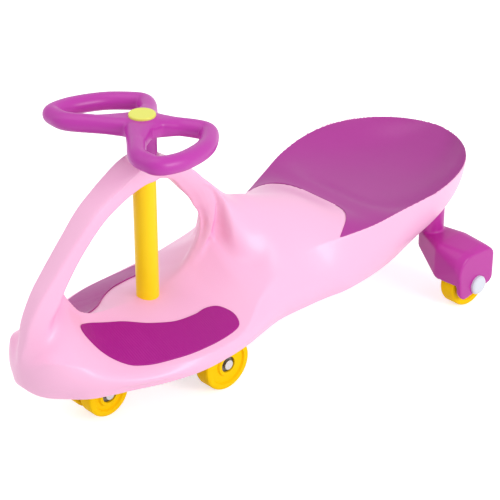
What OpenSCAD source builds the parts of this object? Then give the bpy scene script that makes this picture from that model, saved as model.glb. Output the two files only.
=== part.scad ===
// Wiggle car: a ride-on toy that a child drives by swinging the steering wheel.
// The frame has +X forward, +Y to the left and +Z up, with the floor at z = 0.
// Lengths along the car are measured from the steering axis, then the whole
// car is shifted so that the origin lies under the middle of its length.

/* [Body] */
// Reach of the nose ahead of the steering axis
front_reach = 205; // [202:1:210]
// Reach of the tail behind the steering axis
rear_reach = 549; // [540:1:560]
// Height of the underside above the floor
underside_z = 78; // [76:1:82]
// Radius of the lower edge of the skirt
skirt_round = 9; // [5:1:12]
// Half width of the deck at its rim
deck_half_w = 115; // [108:1:122]
// Half width of the skirt below the deck
skirt_half_w = 118; // [112:1:126]
// Height of the deck rim
deck_rim_z = 101; // [98:1:106]
// Height of the deck at the column
deck_crown_z = 137; // [134:1:142]
// Half width of the waist at its shoulder
waist_half_w = 75; // [70:1:80]
// Height of the waist shoulder
waist_z = 152; // [146:1:156]
// Height of the saddle crest
saddle_z = 226; // [220:1:232]

/* [Arch] */
// Height of the arch top at the steering axis
arch_top_z = 328; // [322:1:334]
// Half width of the arch limb at the hub
hub_half_w = 21; // [19:1:26]
// Depth of the arch at the hub
hub_depth = 28; // [24:1:34]

/* [Seat] */
// Distance of the seat tips behind the steering axis
seat_tip_back = 254; // [244:1:262]
// Distance of the widest seat section behind the steering axis
seat_wide_back = 400; // [390:1:410]
// Half width of the seat rim at its widest section
seat_half_w = 123; // [117:1:129]
// Height of the seat rim at the tail
seat_rim_z = 190; // [185:1:195]
// Height of the seat tips
seat_tip_z = 154; // [150:1:158]
// Height of the lowest point of the seat
seat_low_z = 153; // [150:1:158]
// Thickness of the seat pad
seat_t = 4; // [3:0.5:6]
// Width of the body lip around the seat pad
seat_lip = 2; // [2:0.5:6]

/* [Foot pads] */
// Thickness of a foot pad
pad_t = 4; // [3:0.5:6]
// Height by which a foot pad stands above the deck
pad_proud = 1.6; // [1:0.1:2.5]

/* [Steering] */
// Radius of the steering shaft
shaft_r = 8; // [7:0.5:9]
// Outer radius of the column tube
column_r = 14.5; // [12:0.5:16]
// Wall of the nylon bushings
bush_wall = 3; // [2.5:0.5:4]
// Thickness of the bushing flanges
flange_t = 2.4; // [2:0.2:3]
// Height of the middle of the steering wheel above the arch top
wheel_lift = 41.5; // [38.5:0.5:46]
// Radius of the steering wheel tube
grip_r = 11.5; // [10:0.5:12]
// Reach of a hand loop ahead of the axis
loop_front = 64; // [60:1:68]
// Half width of the middle line of the steering wheel tube
loop_half_w = 103; // [98:0.5:106]
// Drop of the outer ends of the hand loops
loop_droop = 3.5; // [0:0.5:6]
// Rise of the front of the hand loops
loop_pitch = 5; // [0:0.5:7]
// Radius of the centre cap
cap_r = 16.6; // [15:0.2:18]
// Height of the top of the centre cap above the middle of the steering wheel
cap_lift = 15.5; // [15:0.5:18]

/* [Wheels] */
// Radius of the front and rear wheels
wheel_r = 36; // [34:0.5:36]
// Width of the front wheels
wheel_w = 24; // [22:1:26]
// Radius of the small safety wheels
safety_r = 31; // [28:0.5:31]
// Width of the safety wheels
safety_w = 22; // [20:1:23]
// Clearance of the safety wheels above the floor
safety_lift = 8; // [6:0.5:8]
// Distance of the front wheel axle behind the steering axis
front_axle_back = 67; // [62:1:72]
// Distance of the safety wheel axle ahead of the steering axis
safety_axle_front = 89; // [84:1:94]
// Outer face of a front wheel from the centre line
front_face_y = 75; // [73:1:80]
// Outer face of a safety wheel from the centre line
safety_face_y = 27; // [27:0.5:32]
// Distance of the rear axle behind the steering axis
rear_axle_back = 452; // [444:1:460]
// Outer face of a rear wheel from the centre line
rear_face_y = 151; // [148:1:156]
// Radius of the axle bolts
bolt_r = 4; // [3.5:0.5:5]

/* [Rear brackets] */
// Radius of the bracket stem
stem_r = 17; // [15:0.5:18]
// Distance of the stem from the centre line
stem_y = 82; // [79:1:85]
// Height of the bracket hood
hood_top_z = 96; // [92:1:97]
// Wall of the bracket
hood_wall = 5; // [4:0.5:7]
// Radius of the hub cap
hub_cap_r = 13.3; // [11:0.2:15]

/* [Hidden] */

// Shift that puts the origin under the middle of the car
origin_x = (rear_reach - front_reach) / 2;
tip_x = -seat_tip_back;
wide_x = -seat_wide_back;
tail_x = -rear_reach;
waist_x = (tip_x - 136) / 2;
wheel_z = arch_top_z + wheel_lift;
cap_top_z = wheel_z + cap_lift;
fine = 64;
// Clearances: still pieces, running fits, moving pieces
fit_gap = 0.2;
run_gap = 0.05;
move_gap = 0.4;

// Half widths of the rim, of the skirt and of the base along the car
rim_plan = [[front_reach, 86], [front_reach - 20, 92], [160, 92], [132, 92], [90, 99],
    [40, deck_half_w - 5], [0, deck_half_w], [-40, deck_half_w], [-60, deck_half_w - 3],
    [-80, waist_half_w + 29], [-105, waist_half_w + 17], [-145, waist_half_w + 7],
    [waist_x, waist_half_w + 2], [-225, waist_half_w + 4], [tip_x, waist_half_w + 14], [-302, 105],
    [-346, 116], [wide_x, seat_half_w], [tail_x, seat_half_w]];
skirt_plan = [[front_reach, skirt_half_w - 20], [150, skirt_half_w - 14], [90, skirt_half_w - 6],
    [0, skirt_half_w], [-40, skirt_half_w - 1], [-71, skirt_half_w - 5], [-105, skirt_half_w - 14],
    [-145, skirt_half_w - 20], [waist_x, skirt_half_w - 21], [-225, skirt_half_w - 19],
    [tip_x, skirt_half_w - 15], [-302, seat_half_w - 15], [-346, seat_half_w - 11],
    [wide_x, seat_half_w - 11], [-450, seat_half_w - 11], [tail_x, seat_half_w - 9]];
base_plan = [[front_reach, 76], [174, 88], [151, 101], [104, 104], [58, deck_half_w - 3],
    [17, deck_half_w + 2], [-30, deck_half_w + 2], [-71, deck_half_w - 3], [-105, 104], [-142, 97],
    [waist_x, 98], [-225, 100], [tip_x, 104], [-302, 103], [-346, 99], [wide_x, 91], [-450, 89],
    [-500, 92], [tail_x, 95]];
// Heights of the rim, of the skirt, of the base and of the crown along the car
rim_rise = [[front_reach, 120], [front_reach - 20, 132], [160, 126], [132, 113], [90, 104],
    [40, deck_rim_z + 1], [0, deck_rim_z], [-40, deck_rim_z + 1], [-60, deck_rim_z + 4],
    [-80, waist_z - 40], [-105, waist_z - 28], [-145, waist_z - 13], [waist_x, waist_z - 5],
    [tip_x, seat_tip_z], [-302, seat_tip_z + 8], [-346, seat_rim_z - 17], [wide_x, seat_rim_z - 9],
    [-450, seat_rim_z - 3], [-500, seat_rim_z - 1], [tail_x, seat_rim_z]];
skirt_rise = [[front_reach, 110], [150, 104], [90, 96], [0, 92], [-40, 92], [-80, 96], [-105, 101],
    [-145, 108], [tip_x, 112], [-346, 124], [wide_x, 132], [-450, 142], [-500, 155],
    [tail_x, seat_rim_z - 14]];
base_rise = [[front_reach, underside_z + 17], [front_reach - 5, underside_z + 9],
    [front_reach - 13, underside_z + 3], [front_reach - 27, underside_z], [120, underside_z],
    [-200, underside_z], [tip_x, underside_z], [-321, underside_z + 3], [-366, underside_z + 9],
    [-416, underside_z + 20], [-467, underside_z + 37], [-500, underside_z + 53],
    [-525, underside_z + 68], [tail_x, underside_z + 88]];
crown_rise = [[front_reach, 118], [front_reach - 10, 130], [front_reach - 25, 157],
    [front_reach - 40, 190], [front_reach - 55, 204], [135, 196], [122, 175], [110, 158], [95, 148],
    [80, 143], [60, 140], [30, deck_crown_z], [-22, deck_crown_z], [-47, deck_crown_z + 8],
    [-64, saddle_z - 70], [-76, saddle_z - 57], [-86, saddle_z - 43], [-97, saddle_z - 24],
    [-110, saddle_z - 10], [-125, saddle_z - 3], [-145, saddle_z], [-168, saddle_z - 9],
    [-200, saddle_z - 23], [tip_x, saddle_z - 41], [-305, 171], [-350, 170], [wide_x, 174],
    [-450, 181], [-500, 187], [tail_x, seat_rim_z]];
// Roundness of the top: below one it peaks along the middle, at two it is a dome
crown_power = [[front_reach, 0.7], [150, 0.5], [115, 0.6], [60, 1.1], [20, 1.5], [-20, 1.5],
    [-47, 1.1], [-64, 0.85], [-90, 0.65], [-105, 0.6], [-118, 0.55], [-131, 0.6], [-146, 1], [-162, 1.6],
    [tip_x, 2], [tail_x, 2]];

// Value of a smooth curve through rows of [place, value], listed from nose to tail
function row_at(rows, x, i = 0) = i >= len(rows) - 2 || x >= rows[i + 1][0] ? i : row_at(rows, x, i + 1);
function row_slope(rows, i) =
    let (a = max(i - 1, 0), b = min(i + 1, len(rows) - 1))
    (rows[b][1] - rows[a][1]) / (rows[b][0] - rows[a][0]);
function curve(rows, x) =
    let (i = row_at(rows, x), step = rows[i + 1][0] - rows[i][0], t = (x - rows[i][0]) / step)
    rows[i][1] * (2 * t ^ 3 - 3 * t ^ 2 + 1) + row_slope(rows, i) * step * (t ^ 3 - 2 * t ^ 2 + t)
    + rows[i + 1][1] * (3 * t ^ 2 - 2 * t ^ 3) + row_slope(rows, i + 1) * step * (t ^ 3 - t ^ 2);

// Share of the full width that the round nose and the round tail leave at a place
function end_share(x) =
    x > 0 ? sqrt(max(0, 1 - (x / front_reach) ^ 2))
    : x < wide_x ? sqrt(max(0, 1 - ((x - wide_x) / (tail_x - wide_x)) ^ 2))
    : 1;
function rim_y(x) = curve(rim_plan, x) * end_share(x);
// Height of the upper surface of the body over a point of the plan
function top_z(x, y) =
    let (rim = curve(rim_rise, x))
    rim + (curve(crown_rise, x) - rim) * (1 - min(1, abs(y) / rim_y(x)) ^ curve(crown_power, x));

// Left half of a cross section, from the middle of the underside to the middle of the top
top_steps = 9;
function half_section(x) =
    let (share = end_share(x), base_y = curve(base_plan, x) * share, skirt_y = curve(skirt_plan, x) * share,
         rim = [rim_y(x), curve(rim_rise, x)], base_z = curve(base_rise, x),
         r = min(skirt_round, base_y / 2), low = [base_y, base_z + r],
         pull = 2 * [skirt_y, curve(skirt_rise, x)] - (low + rim) / 2)
    concat(
        [[0, base_z], [(base_y - r) * 0.6, base_z]],
        [for (a = [0 : 30 : 90]) [base_y - r + r * sin(a), base_z + r - r * cos(a)]],
        [for (t = [0.2 : 0.2 : 0.99]) low * (1 - t) ^ 2 + pull * 2 * t * (1 - t) + rim * t ^ 2],
        [for (j = [0 : top_steps]) let (y = rim[0] * (1 - j / top_steps)) [y, top_z(x, y)]]);
function full_section(x) =
    let (half = half_section(x), n = len(half))
    concat(half, [for (j = [n - 2 : -1 : 1]) [-half[j][0], half[j][1]]]);

// Closed skin over a list of rings that have the same number of points
function skin_faces(rings, n) = concat(
    [[for (j = [0 : n - 1]) j]],
    [for (i = [0 : rings - 2], j = [0 : n - 1])
        let (a = i * n + j, b = i * n + (j + 1) % n)
        each [[a, a + n, b], [b, a + n, b + n]]],
    [[for (j = [n - 1 : -1 : 0]) (rings - 1) * n + j]]);
module skin(rings) {
    n = len(rings[0]);
    polyhedron([for (ring = rings) each ring], skin_faces(len(rings), n), convexity = 6);
}

// Body without its arch, from sections that crowd together at the nose and the tail
end_angles = [3, 8, 14, 21, 29, 38, 48, 58, 69, 80];
middle_steps = 25;
stations = concat(
    [for (a = end_angles) front_reach * cos(a)],
    [for (k = [0 : middle_steps]) wide_x * k / middle_steps],
    [for (k = [len(end_angles) - 1 : -1 : 0]) wide_x + (tail_x - wide_x) * cos(end_angles[k])]);
module hull_form() {
    skin([for (x = stations) [for (p = full_section(x)) [x, -p[0], p[1]]]]);
}

// Outer line of the arch: place, height, half width outside, half width inside, depth
arch_rows = [[front_reach - 6, 98, 4, 16, 18], [front_reach - 2, 122, 6, 19, 20],
    [front_reach - 8, 148, 9, 21, 23], [front_reach - 15, 173, 10.5, 20, 27],
    [front_reach - 31, 200, 12, 19, 28.5], [front_reach - 50, 222, 13.5, 18, 23],
    [126, arch_top_z - 75, 14.5, 18, 19.5], [96, arch_top_z - 45.5, 16.5, 19, 19.5],
    [73, arch_top_z - 30, 18, 19.5, 19.5], [46, arch_top_z - 15, 20, 20, 22],
    [20, arch_top_z - 3, hub_half_w, hub_half_w, hub_depth - 2],
    [0, arch_top_z, hub_half_w, hub_half_w, hub_depth],
    [-22, arch_top_z - 4, hub_half_w - 2, hub_half_w - 4, hub_depth],
    [-50, arch_top_z - 22, 16, 11, 24], [-77, arch_top_z - 45, 14, 6, 28],
    [-95, arch_top_z - 69, 14, 3.5, 27], [-104, saddle_z + 10, 14, 2, 25],
    [-104, saddle_z - 12, 14, 1.6, 17], [-98, saddle_z - 34, 13, 1.5, 10],
    [-87, saddle_z - 53, 12, 1.5, 7.5], [-71, saddle_z - 71, 10, 1.5, 6.5],
    [-50, saddle_z - 92, 7, 1.5, 6.5]];
// Spine from the arch to the saddle: place, height of its top, half width, height of its foot
spine_rows = [[-72, arch_top_z - 46, 5, arch_top_z - 60], [-84, arch_top_z - 52, 6, arch_top_z - 64],
    [-92, saddle_z + 43, 6, saddle_z + 20], [-98, saddle_z + 37, 6.5, saddle_z - 36],
    [-115, saddle_z + 20.5, 7.5, saddle_z - 45], [-133, saddle_z + 5.5, 9, saddle_z - 45],
    [-156, saddle_z - 10, 8, saddle_z - 45]];
spine_foot = 1;
arch_steps = 3;
function blend_row(rows, u) =
    let (i = min(floor(u), len(rows) - 2), t = u - i, a = rows[i], b = rows[i + 1],
         before = rows[max(i - 1, 0)], after = rows[min(i + 2, len(rows) - 1)])
    a * (2 * t ^ 3 - 3 * t ^ 2 + 1) + (b - before) / 2 * (t ^ 3 - 2 * t ^ 2 + t)
    + b * (3 * t ^ 2 - 2 * t ^ 3) + (after - a) / 2 * (t ^ 3 - t ^ 2);
// Thickness of the arch behind its outer line, which grows where the rear limb enters the body
arch_bulge = 0.8;
wedge = 9;
wedge_reach = 20;
function arch_back(x, z) =
    arch_bulge + (x > 0 ? 0 : wedge * max(0, min(1, (saddle_z + wedge_reach - z) / wedge_reach)));
function arch_half(w, v, d, back) =
    let (side = min(4, d / 3), low = min(1.2, d / 8))
    [[0, -back], [w * 0.6, -back * 0.6], [w - 1.4, 0.3], [w, min(2, d / 6)], [(w + v) / 2 + 0.8, d / 2],
     [v, d - side], [v - min(1.3, v / 3), d - low], [v - min(4, v * 0.8), d], [0, d]];
function arch_ring(u) =
    let (row = blend_row(arch_rows, u), ahead = blend_row(arch_rows, min(u + 0.05, len(arch_rows) - 1)),
         behind = blend_row(arch_rows, max(u - 0.05, 0)), run = [ahead[0] - behind[0], ahead[1] - behind[1]],
         dir = run / norm(run),
         half = arch_half(row[2], row[3], row[4], arch_back(row[0], row[1])), n = len(half),
         ring = concat(half, [for (j = [n - 2 : -1 : 1]) [-half[j][0], half[j][1]]]))
    [for (p = ring) [row[0] - dir[1] * p[1], p[0], row[1] + dir[0] * p[1]]];
module arch_form() {
    skin([for (k = [0 : (len(arch_rows) - 1) * arch_steps]) arch_ring(k / arch_steps)]);
}
function spine_ring(u) =
    let (row = blend_row(spine_rows, u), w = row[2],
         half = [[0, row[1]], [w * 0.6, row[1] - 0.8], [w, row[1] - 4], [w + spine_foot, row[3]]],
         ring = concat(half, [for (j = [len(half) - 1 : -1 : 1]) [-half[j][0], half[j][1]]]))
    [for (p = ring) [row[0], p[0], p[1]]];
module spine_form() {
    skin([for (k = [0 : (len(spine_rows) - 1) * arch_steps]) spine_ring(k / arch_steps)]);
}

// Closed patch between two surfaces over an outline that runs to the left, in rings around its middle
function patch_ring(outline, middle, share) = [for (p = outline) middle + (p - middle) * share];
function patch_side(outline, middle, shares, height) = concat(
    [[middle[0], middle[1], height(middle, 0)]],
    [for (s = shares) for (p = patch_ring(outline, middle, s)) [p[0], p[1], height(p, s)]]);
function patch_faces(n, rings) =
    let (m = 1 + n * rings, last = 1 + n * (rings - 1))
    concat(
        [for (j = [0 : n - 1]) let (k = (j + 1) % n) each [[0, 1 + k, 1 + j], [m, m + 1 + j, m + 1 + k]]],
        [for (i = [0 : rings - 2], j = [0 : n - 1])
            let (a = 1 + i * n + j, b = 1 + i * n + (j + 1) % n)
            each [[a, b, a + n], [b, b + n, a + n], [m + a, m + a + n, m + b],
                [m + b, m + a + n, m + b + n]]],
        [for (j = [0 : n - 1])
            let (a = last + j, b = last + (j + 1) % n)
            each [[a, b, m + a], [b, m + b, m + a]]]);
module patch(outline, middle, shares, high, low) {
    polyhedron(
        concat(patch_side(outline, middle, shares, high), patch_side(outline, middle, shares, low)),
        patch_faces(len(outline), len(shares)), convexity = 6);
}

// Seat: a shallow bowl inside the rim, closed in front by the edge of the saddle
seat_middle = [wide_x - 25, 0];
seat_front_x = tip_x - 51;
seat_shares = [0.25, 0.5, 0.68, 0.8, 0.89, 0.95, 1];
tongue_power = 4;
tongue_steps = 8;
// Height of the bowl along its middle line, which runs on from the crown of the body
seat_line = [[waist_x, curve(crown_rise, waist_x)], [tip_x, curve(crown_rise, tip_x)],
    [seat_front_x, curve(crown_rise, seat_front_x)], [-330, seat_low_z + 9], [-360, seat_low_z + 2.5],
    [-395, seat_low_z], [-430, seat_low_z], [-465, seat_low_z + 2], [-500, seat_low_z + 9],
    [-525, seat_low_z + 19], [-540, seat_low_z + 29], [tail_x, seat_rim_z]];
// Steepness of the bowl towards its rim
seat_power = [[waist_x, 2], [seat_front_x, 2], [-345, 2.7], [wide_x, 3.4], [-460, 3.8], [tail_x, 3.8]];
function seat_side(k) = let (x = tip_x + (wide_x - tip_x) * k / 8) [x, rim_y(x) - seat_lip];
function seat_tail(a) = [wide_x + (tail_x + seat_lip - wide_x) * sin(a), (seat_half_w - seat_lip) * cos(a)];
seat_left = concat([for (k = [0 : 7]) seat_side(k)], [for (a = [0 : 11.25 : 80]) seat_tail(a)]);
seat_tip_y = seat_left[0][1];
seat_tongue = [for (k = [1 : tongue_steps - 1])
    let (y = seat_tip_y * (2 * k / tongue_steps - 1))
    [seat_front_x + (tip_x - seat_front_x) * (abs(y) / seat_tip_y) ^ tongue_power, y]];
seat_outline = concat(seat_left, [seat_tail(90)],
    [for (k = [len(seat_left) - 1 : -1 : 0]) [seat_left[k][0], -seat_left[k][1]]], seat_tongue);
function seat_z(p) =
    let (low = curve(seat_line, p[0]))
    low + (curve(rim_rise, p[0]) - low) * min(1, abs(p[1]) / rim_y(p[0])) ^ curve(seat_power, p[0]);
module seat_pad() {
    color("purple")
    translate([origin_x, 0, 0])
    patch(seat_outline, seat_middle, seat_shares,
        function (p, s) seat_z(p), function (p, s) seat_z(p) - seat_t);
}
pocket_rise = 60;
pocket_grow = 1.003;
module seat_pocket() {
    patch(seat_outline, seat_middle, seat_shares * pocket_grow,
        function (p, s) seat_z(p) + pocket_rise, function (p, s) seat_z(p) - seat_t - fit_gap);
}

// Foot pads: thin mats that follow the deck, with an outline in shares of the deck's half width
pad_shape = [[1.052, 0.148], [1.026, 0.33], [0.957, 0.496], [0.852, 0.643], [0.748, 0.722],
    [0.539, 0.817], [0.217, 0.904], [-0.122, 0.93], [-0.417, 0.913], [-0.539, 0.878], [-0.583, 0.783],
    [-0.565, 0.678], [-0.496, 0.574], [-0.365, 0.53], [-0.191, 0.539], [0.07, 0.504], [0.313, 0.383],
    [0.565, 0.2], [0.87, 0.096]];
pad_rows = pad_shape * deck_half_w;
pad_middle = [0.174, 0.652] * deck_half_w;
pad_shares = [0.4, 0.75, 0.95, 1];
pad_steps = 2;
pad_grow = 1.005;
pad_edge = 0.6;
function loop_at(rows, u) =
    let (n = len(rows), i = floor(u), t = u - i, a = rows[i % n], b = rows[(i + 1) % n],
         before = rows[(i + n - 1) % n], after = rows[(i + 2) % n])
    a * (2 * t ^ 3 - 3 * t ^ 2 + 1) + (b - before) / 2 * (t ^ 3 - 2 * t ^ 2 + t)
    + b * (3 * t ^ 2 - 2 * t ^ 3) + (after - a) / 2 * (t ^ 3 - t ^ 2);
pad_outline = [for (k = [0 : len(pad_rows) * pad_steps - 1]) loop_at(pad_rows, k / pad_steps)];
module pad_left() {
    patch(pad_outline, pad_middle, pad_shares,
        function (p, s) top_z(p[0], p[1]) + pad_proud * (s < 1 ? 1 : pad_edge),
        function (p, s) top_z(p[0], p[1]) + pad_proud - pad_t);
}
module pad_pocket() {
    patch(pad_outline, pad_middle, pad_shares * pad_grow,
        function (p, s) top_z(p[0], p[1]) + pocket_rise / 4,
        function (p, s) top_z(p[0], p[1]) + pad_proud - pad_t - fit_gap);
}
module foot_pad_left() {
    color("purple")
    translate([origin_x, 0, 0])
    pad_left();
}
module foot_pad_right() {
    color("purple")
    translate([origin_x, 0, 0])
    mirror([0, 1, 0])
    pad_left();
}

// Ring or tube around the Z axis
module tube(outer, inner, low, high) {
    translate([0, 0, low])
    difference() {
        cylinder(r = outer, h = high - low, $fn = fine);
        translate([0, 0, -1])
        cylinder(r = inner, h = high - low + 2, $fn = fine);
    }
}
module post(r, low, high, sides = fine) {
    translate([0, 0, low])
    cylinder(r = r, h = high - low, $fn = sides);
}

// Steering axis: seats for the bushings on the hub of the arch and on the deck
hub_top_z = arch_top_z + 1;
hub_low_z = arch_top_z - hub_depth + 5;
deck_seat_z = deck_crown_z - 4;
bush_r = shaft_r + bush_wall;
upper_flange_r = column_r + 1;
lower_flange_r = column_r - 1;
module upper_bushing() {
    color("white")
    translate([origin_x, 0, 0])
    difference() {
        union() {
            post(bush_r, hub_low_z, hub_top_z + flange_t);
            post(upper_flange_r, hub_top_z, hub_top_z + flange_t);
        }
        post(shaft_r + run_gap, hub_low_z - 1, hub_top_z + flange_t + 1);
    }
}
module lower_bushing() {
    color("white")
    translate([origin_x, 0, 0])
    difference() {
        union() {
            post(bush_r, underside_z, deck_seat_z);
            post(lower_flange_r, deck_seat_z - flange_t, deck_seat_z);
        }
        post(shaft_r + run_gap, underside_z - 1, deck_seat_z + 1);
    }
}

// Rear bracket stems and the screws that hold them
rear_x = -rear_axle_back;
stem_x = rear_x + 7;
stem_low_z = 68;
stem_top_z = 142;
screw_r = 3;
screw_top_z = stem_top_z + 10;
screw_head_r = 6.5;
screw_head_t = 4;

// Stiffening grooves across the underside
groove_count = 8;
groove_first_x = -128;
groove_pitch = 16;
groove_r = 3;
groove_depth = 3;
groove_half = 45;
module groove(x) {
    hull()
    for (side = [-1, 1])
    translate([x, side * groove_half, underside_z - 1])
    cylinder(r = groove_r, h = groove_depth + 1, $fn = 16);
}

module body_shell() {
    color("pink")
    translate([origin_x, 0, 0])
    difference() {
        union() {
            hull_form();
            arch_form();
            spine_form();
            post(hub_half_w - 1, hub_low_z + 4, hub_top_z);
        }
        seat_pocket();
        pad_pocket();
        mirror([0, 1, 0])
        pad_pocket();
        post(bush_r + run_gap, underside_z - 1, hub_top_z + 1);
        post(lower_flange_r + run_gap, deck_seat_z - flange_t, deck_seat_z + 1);
        post(column_r + move_gap, deck_seat_z, hub_low_z);
        for (side = [-1, 1])
        translate([stem_x, side * stem_y, 0]) {
            post(stem_r + fit_gap, stem_low_z, stem_top_z + fit_gap);
            post(screw_r + run_gap, stem_low_z, screw_top_z + fit_gap, 24);
        }
        for (k = [0 : groove_count - 1])
        groove(groove_first_x - k * groove_pitch);
    }
}

// Steering wheel: two rounded hand loops on a hub with a neck
loop_rows = [[16, 10], [27, 18], [loop_front - 22, 38], [loop_front - 2, 64],
    [loop_front, loop_half_w - 20], [loop_front - 5, loop_half_w - 5.5], [loop_front - 26, loop_half_w],
    [16, loop_half_w - 1.5], [-14, loop_half_w - 10.5], [-37, loop_half_w - 26.5], [-51, 56], [-35, 30],
    [-20, 17]];
function loop_z(p) = wheel_z + loop_pitch * p[0] / loop_front - loop_droop * max(0, p[1]) / loop_half_w;
loop_steps = 3;
loop_sides = 12;
hub_r = cap_r + 1.6;
neck_r = 17;
neck_low_z = hub_top_z + flange_t + move_gap;
cap_t = 5;
cap_seat_z = cap_top_z - cap_t;
nut_t = 7;
nut_r = 13;
steer_nut_z = cap_seat_z - nut_t - 3;
shaft_top_z = cap_seat_z - 2;
function loop_ring(u) =
    let (n = len(loop_rows), p = loop_at(loop_rows, u), z = loop_z(p),
         run = loop_at(loop_rows, u + 0.05) - loop_at(loop_rows, u + n - 0.05),
         side = grip_r * [run[1], -run[0]] / norm(run))
    [for (j = [0 : loop_sides - 1]) let (a = 360 * j / loop_sides)
        [p[0] + side[0] * cos(a), p[1] + side[1] * cos(a), z + grip_r * sin(a)]];
function loop_faces(rings, n) = [for (i = [0 : rings - 1], j = [0 : n - 1])
    let (next = (j + 1) % n, here = i * n, there = ((i + 1) % rings) * n)
    each [[here + j, here + next, there + j], [here + next, there + next, there + j]]];
module hand_loop() {
    rings = len(loop_rows) * loop_steps;
    polyhedron([for (k = [0 : rings - 1]) each loop_ring(k / loop_steps)],
        loop_faces(rings, loop_sides), convexity = 6);
}
web_rows = [1, 2, len(loop_rows) - 2, len(loop_rows) - 1];
web_share = 0.9;
module wheel_web(i) {
    hull() {
        post(neck_r, wheel_z - grip_r * web_share, wheel_z + grip_r * web_share, 20);
        translate([loop_rows[i][0], loop_rows[i][1], loop_z(loop_rows[i])])
        sphere(r = grip_r * web_share, $fn = 14);
    }
}
module steering_wheel() {
    color("purple")
    translate([origin_x, 0, 0])
    difference() {
        union() {
            for (side = [0, 1])
            mirror([0, side, 0]) {
                hand_loop();
                for (i = web_rows)
                wheel_web(i);
            }
            post(hub_r, wheel_z, cap_seat_z + 2, 40);
            post(neck_r, neck_low_z, wheel_z, 40);
        }
        post(shaft_r + run_gap, neck_low_z - 1, steer_nut_z + 1);
        post(nut_r + 1, steer_nut_z, cap_seat_z + 1);
        post(cap_r + fit_gap, cap_seat_z, cap_top_z);
    }
}
cap_round = 1.5;
module steering_cap() {
    color("yellowgreen")
    translate([origin_x, 0, cap_seat_z])
    rotate_extrude($fn = fine)
    polygon([[0, 0], [cap_r, 0], [cap_r, cap_t - cap_round],
        [cap_r - cap_round * 0.3, cap_t - cap_round * 0.3], [cap_r - cap_round, cap_t], [0, cap_t]]);
}
module steering_column() {
    color("gold")
    translate([origin_x, 0, 0])
    tube(column_r, shaft_r + run_gap, deck_seat_z + move_gap, hub_low_z - move_gap);
}

// Swing frame under the body
washer_t = 2;
washer_r = 20;
boss_top_z = underside_z - move_gap - washer_t;
plate_low_z = 66;
plate_t = 4;
shaft_low_z = 54;
frame_nut_z = plate_low_z - nut_t;
flange_y = 38;
web_half = 3;
boss_r = 16;
module steering_shaft() {
    color("silver")
    translate([origin_x, 0, 0])
    post(shaft_r, shaft_low_z, shaft_top_z);
}
module steering_nut() {
    color("silver")
    translate([origin_x, 0, 0])
    shaft_nut(steer_nut_z);
}
module frame_nut() {
    color("silver")
    translate([origin_x, 0, 0])
    shaft_nut(frame_nut_z);
}
module shaft_nut(low) {
    difference() {
        post(nut_r, low, low + nut_t, 6);
        post(shaft_r + run_gap, low - 1, low + nut_t + 1);
    }
}
module thrust_washer() {
    color("white")
    translate([origin_x, 0, 0])
    tube(washer_r, shaft_r + run_gap, boss_top_z, boss_top_z + washer_t);
}
safety_z = safety_lift + safety_r;
front_x = -front_axle_back;
frame_ear = 16;
ear_drop = 12;
ear_cut = 6;
plate_y = flange_y + plate_t;
arm_x = 40;
arm_end_x = 52;
web_back = 18;
module axle_hole(x, z, r) {
    translate([x, 0, z])
    rotate([90, 0, 0])
    cylinder(r = r, h = 4 * flange_y, center = true, $fn = fine);
}
module swing_frame() {
    color("dimgray")
    translate([origin_x, 0, 0])
    difference() {
        union() {
            translate([0, 0, plate_low_z])
            linear_extrude(plate_t)
            polygon([[front_x - frame_ear, -plate_y], [front_x + frame_ear + ear_cut, -plate_y],
                [arm_x, -boss_r], [arm_end_x, -boss_r / 2], [arm_end_x, boss_r / 2], [arm_x, boss_r],
                [front_x + frame_ear + ear_cut, plate_y], [front_x - frame_ear, plate_y]]);
            post(boss_r, plate_low_z, boss_top_z);
            for (y = [-flange_y - plate_t, flange_y])
            translate([0, y + plate_t, 0])
            rotate([90, 0, 0])
            linear_extrude(plate_t)
            polygon([[front_x - frame_ear, plate_low_z + 1], [front_x - frame_ear, wheel_r],
                [front_x - frame_ear + ear_cut, wheel_r - ear_drop],
                [front_x + frame_ear - ear_cut, wheel_r - ear_drop], [front_x + frame_ear, wheel_r],
                [front_x + frame_ear, plate_low_z + 1]]);
            translate([0, web_half, 0])
            rotate([90, 0, 0])
            linear_extrude(2 * web_half)
            polygon([[web_back, plate_low_z + 1], [web_back, plate_low_z - 10],
                [safety_axle_front - ear_drop, safety_z - ear_drop],
                [safety_axle_front + 10, safety_z - ear_drop],
                [safety_axle_front + ear_drop, safety_z + plate_t], [arm_end_x, plate_low_z + 1]]);
        }
        post(shaft_r + run_gap, plate_low_z - 1, boss_top_z + 1);
        axle_hole(front_x, wheel_r, bolt_r + run_gap);
        axle_hole(safety_axle_front, safety_z, bolt_r + run_gap);
    }
}

// Wheels on ball bearings
bearing_r = 11;
bearing_w = 7;
bearing_inset = 3;
bearing_gap = 0.02;
core_r = 9;
hub_face_r = 15;
rim_band = 8;
recess = 3;
tread_round = 3;
head_r = 6.5;
head_t = 4;
head_gap = 0.3;
spacer_r = 6.2;
axle_nut_r = 7.5;
axle_nut_t = 6;
module turned(y) {
    translate([0, y, 0])
    rotate([-90, 0, 0])
    children();
}
module wheel_body(r, w) {
    h = w / 2;
    shelf = h - bearing_inset - bearing_w;
    pocket_r = bearing_r + bearing_gap;
    half = [[core_r, shelf], [pocket_r, shelf], [pocket_r, h], [hub_face_r, h],
        [hub_face_r + recess / 2, h - recess], [r - rim_band - recess / 2, h - recess], [r - rim_band, h],
        [r - tread_round, h], [r - tread_round * 0.3, h - tread_round * 0.3], [r, h - tread_round]];
    rotate_extrude($fn = 2 * fine)
    polygon(concat(half, [for (k = [len(half) - 1 : -1 : 0]) [half[k][0], -half[k][1]]]));
}
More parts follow.
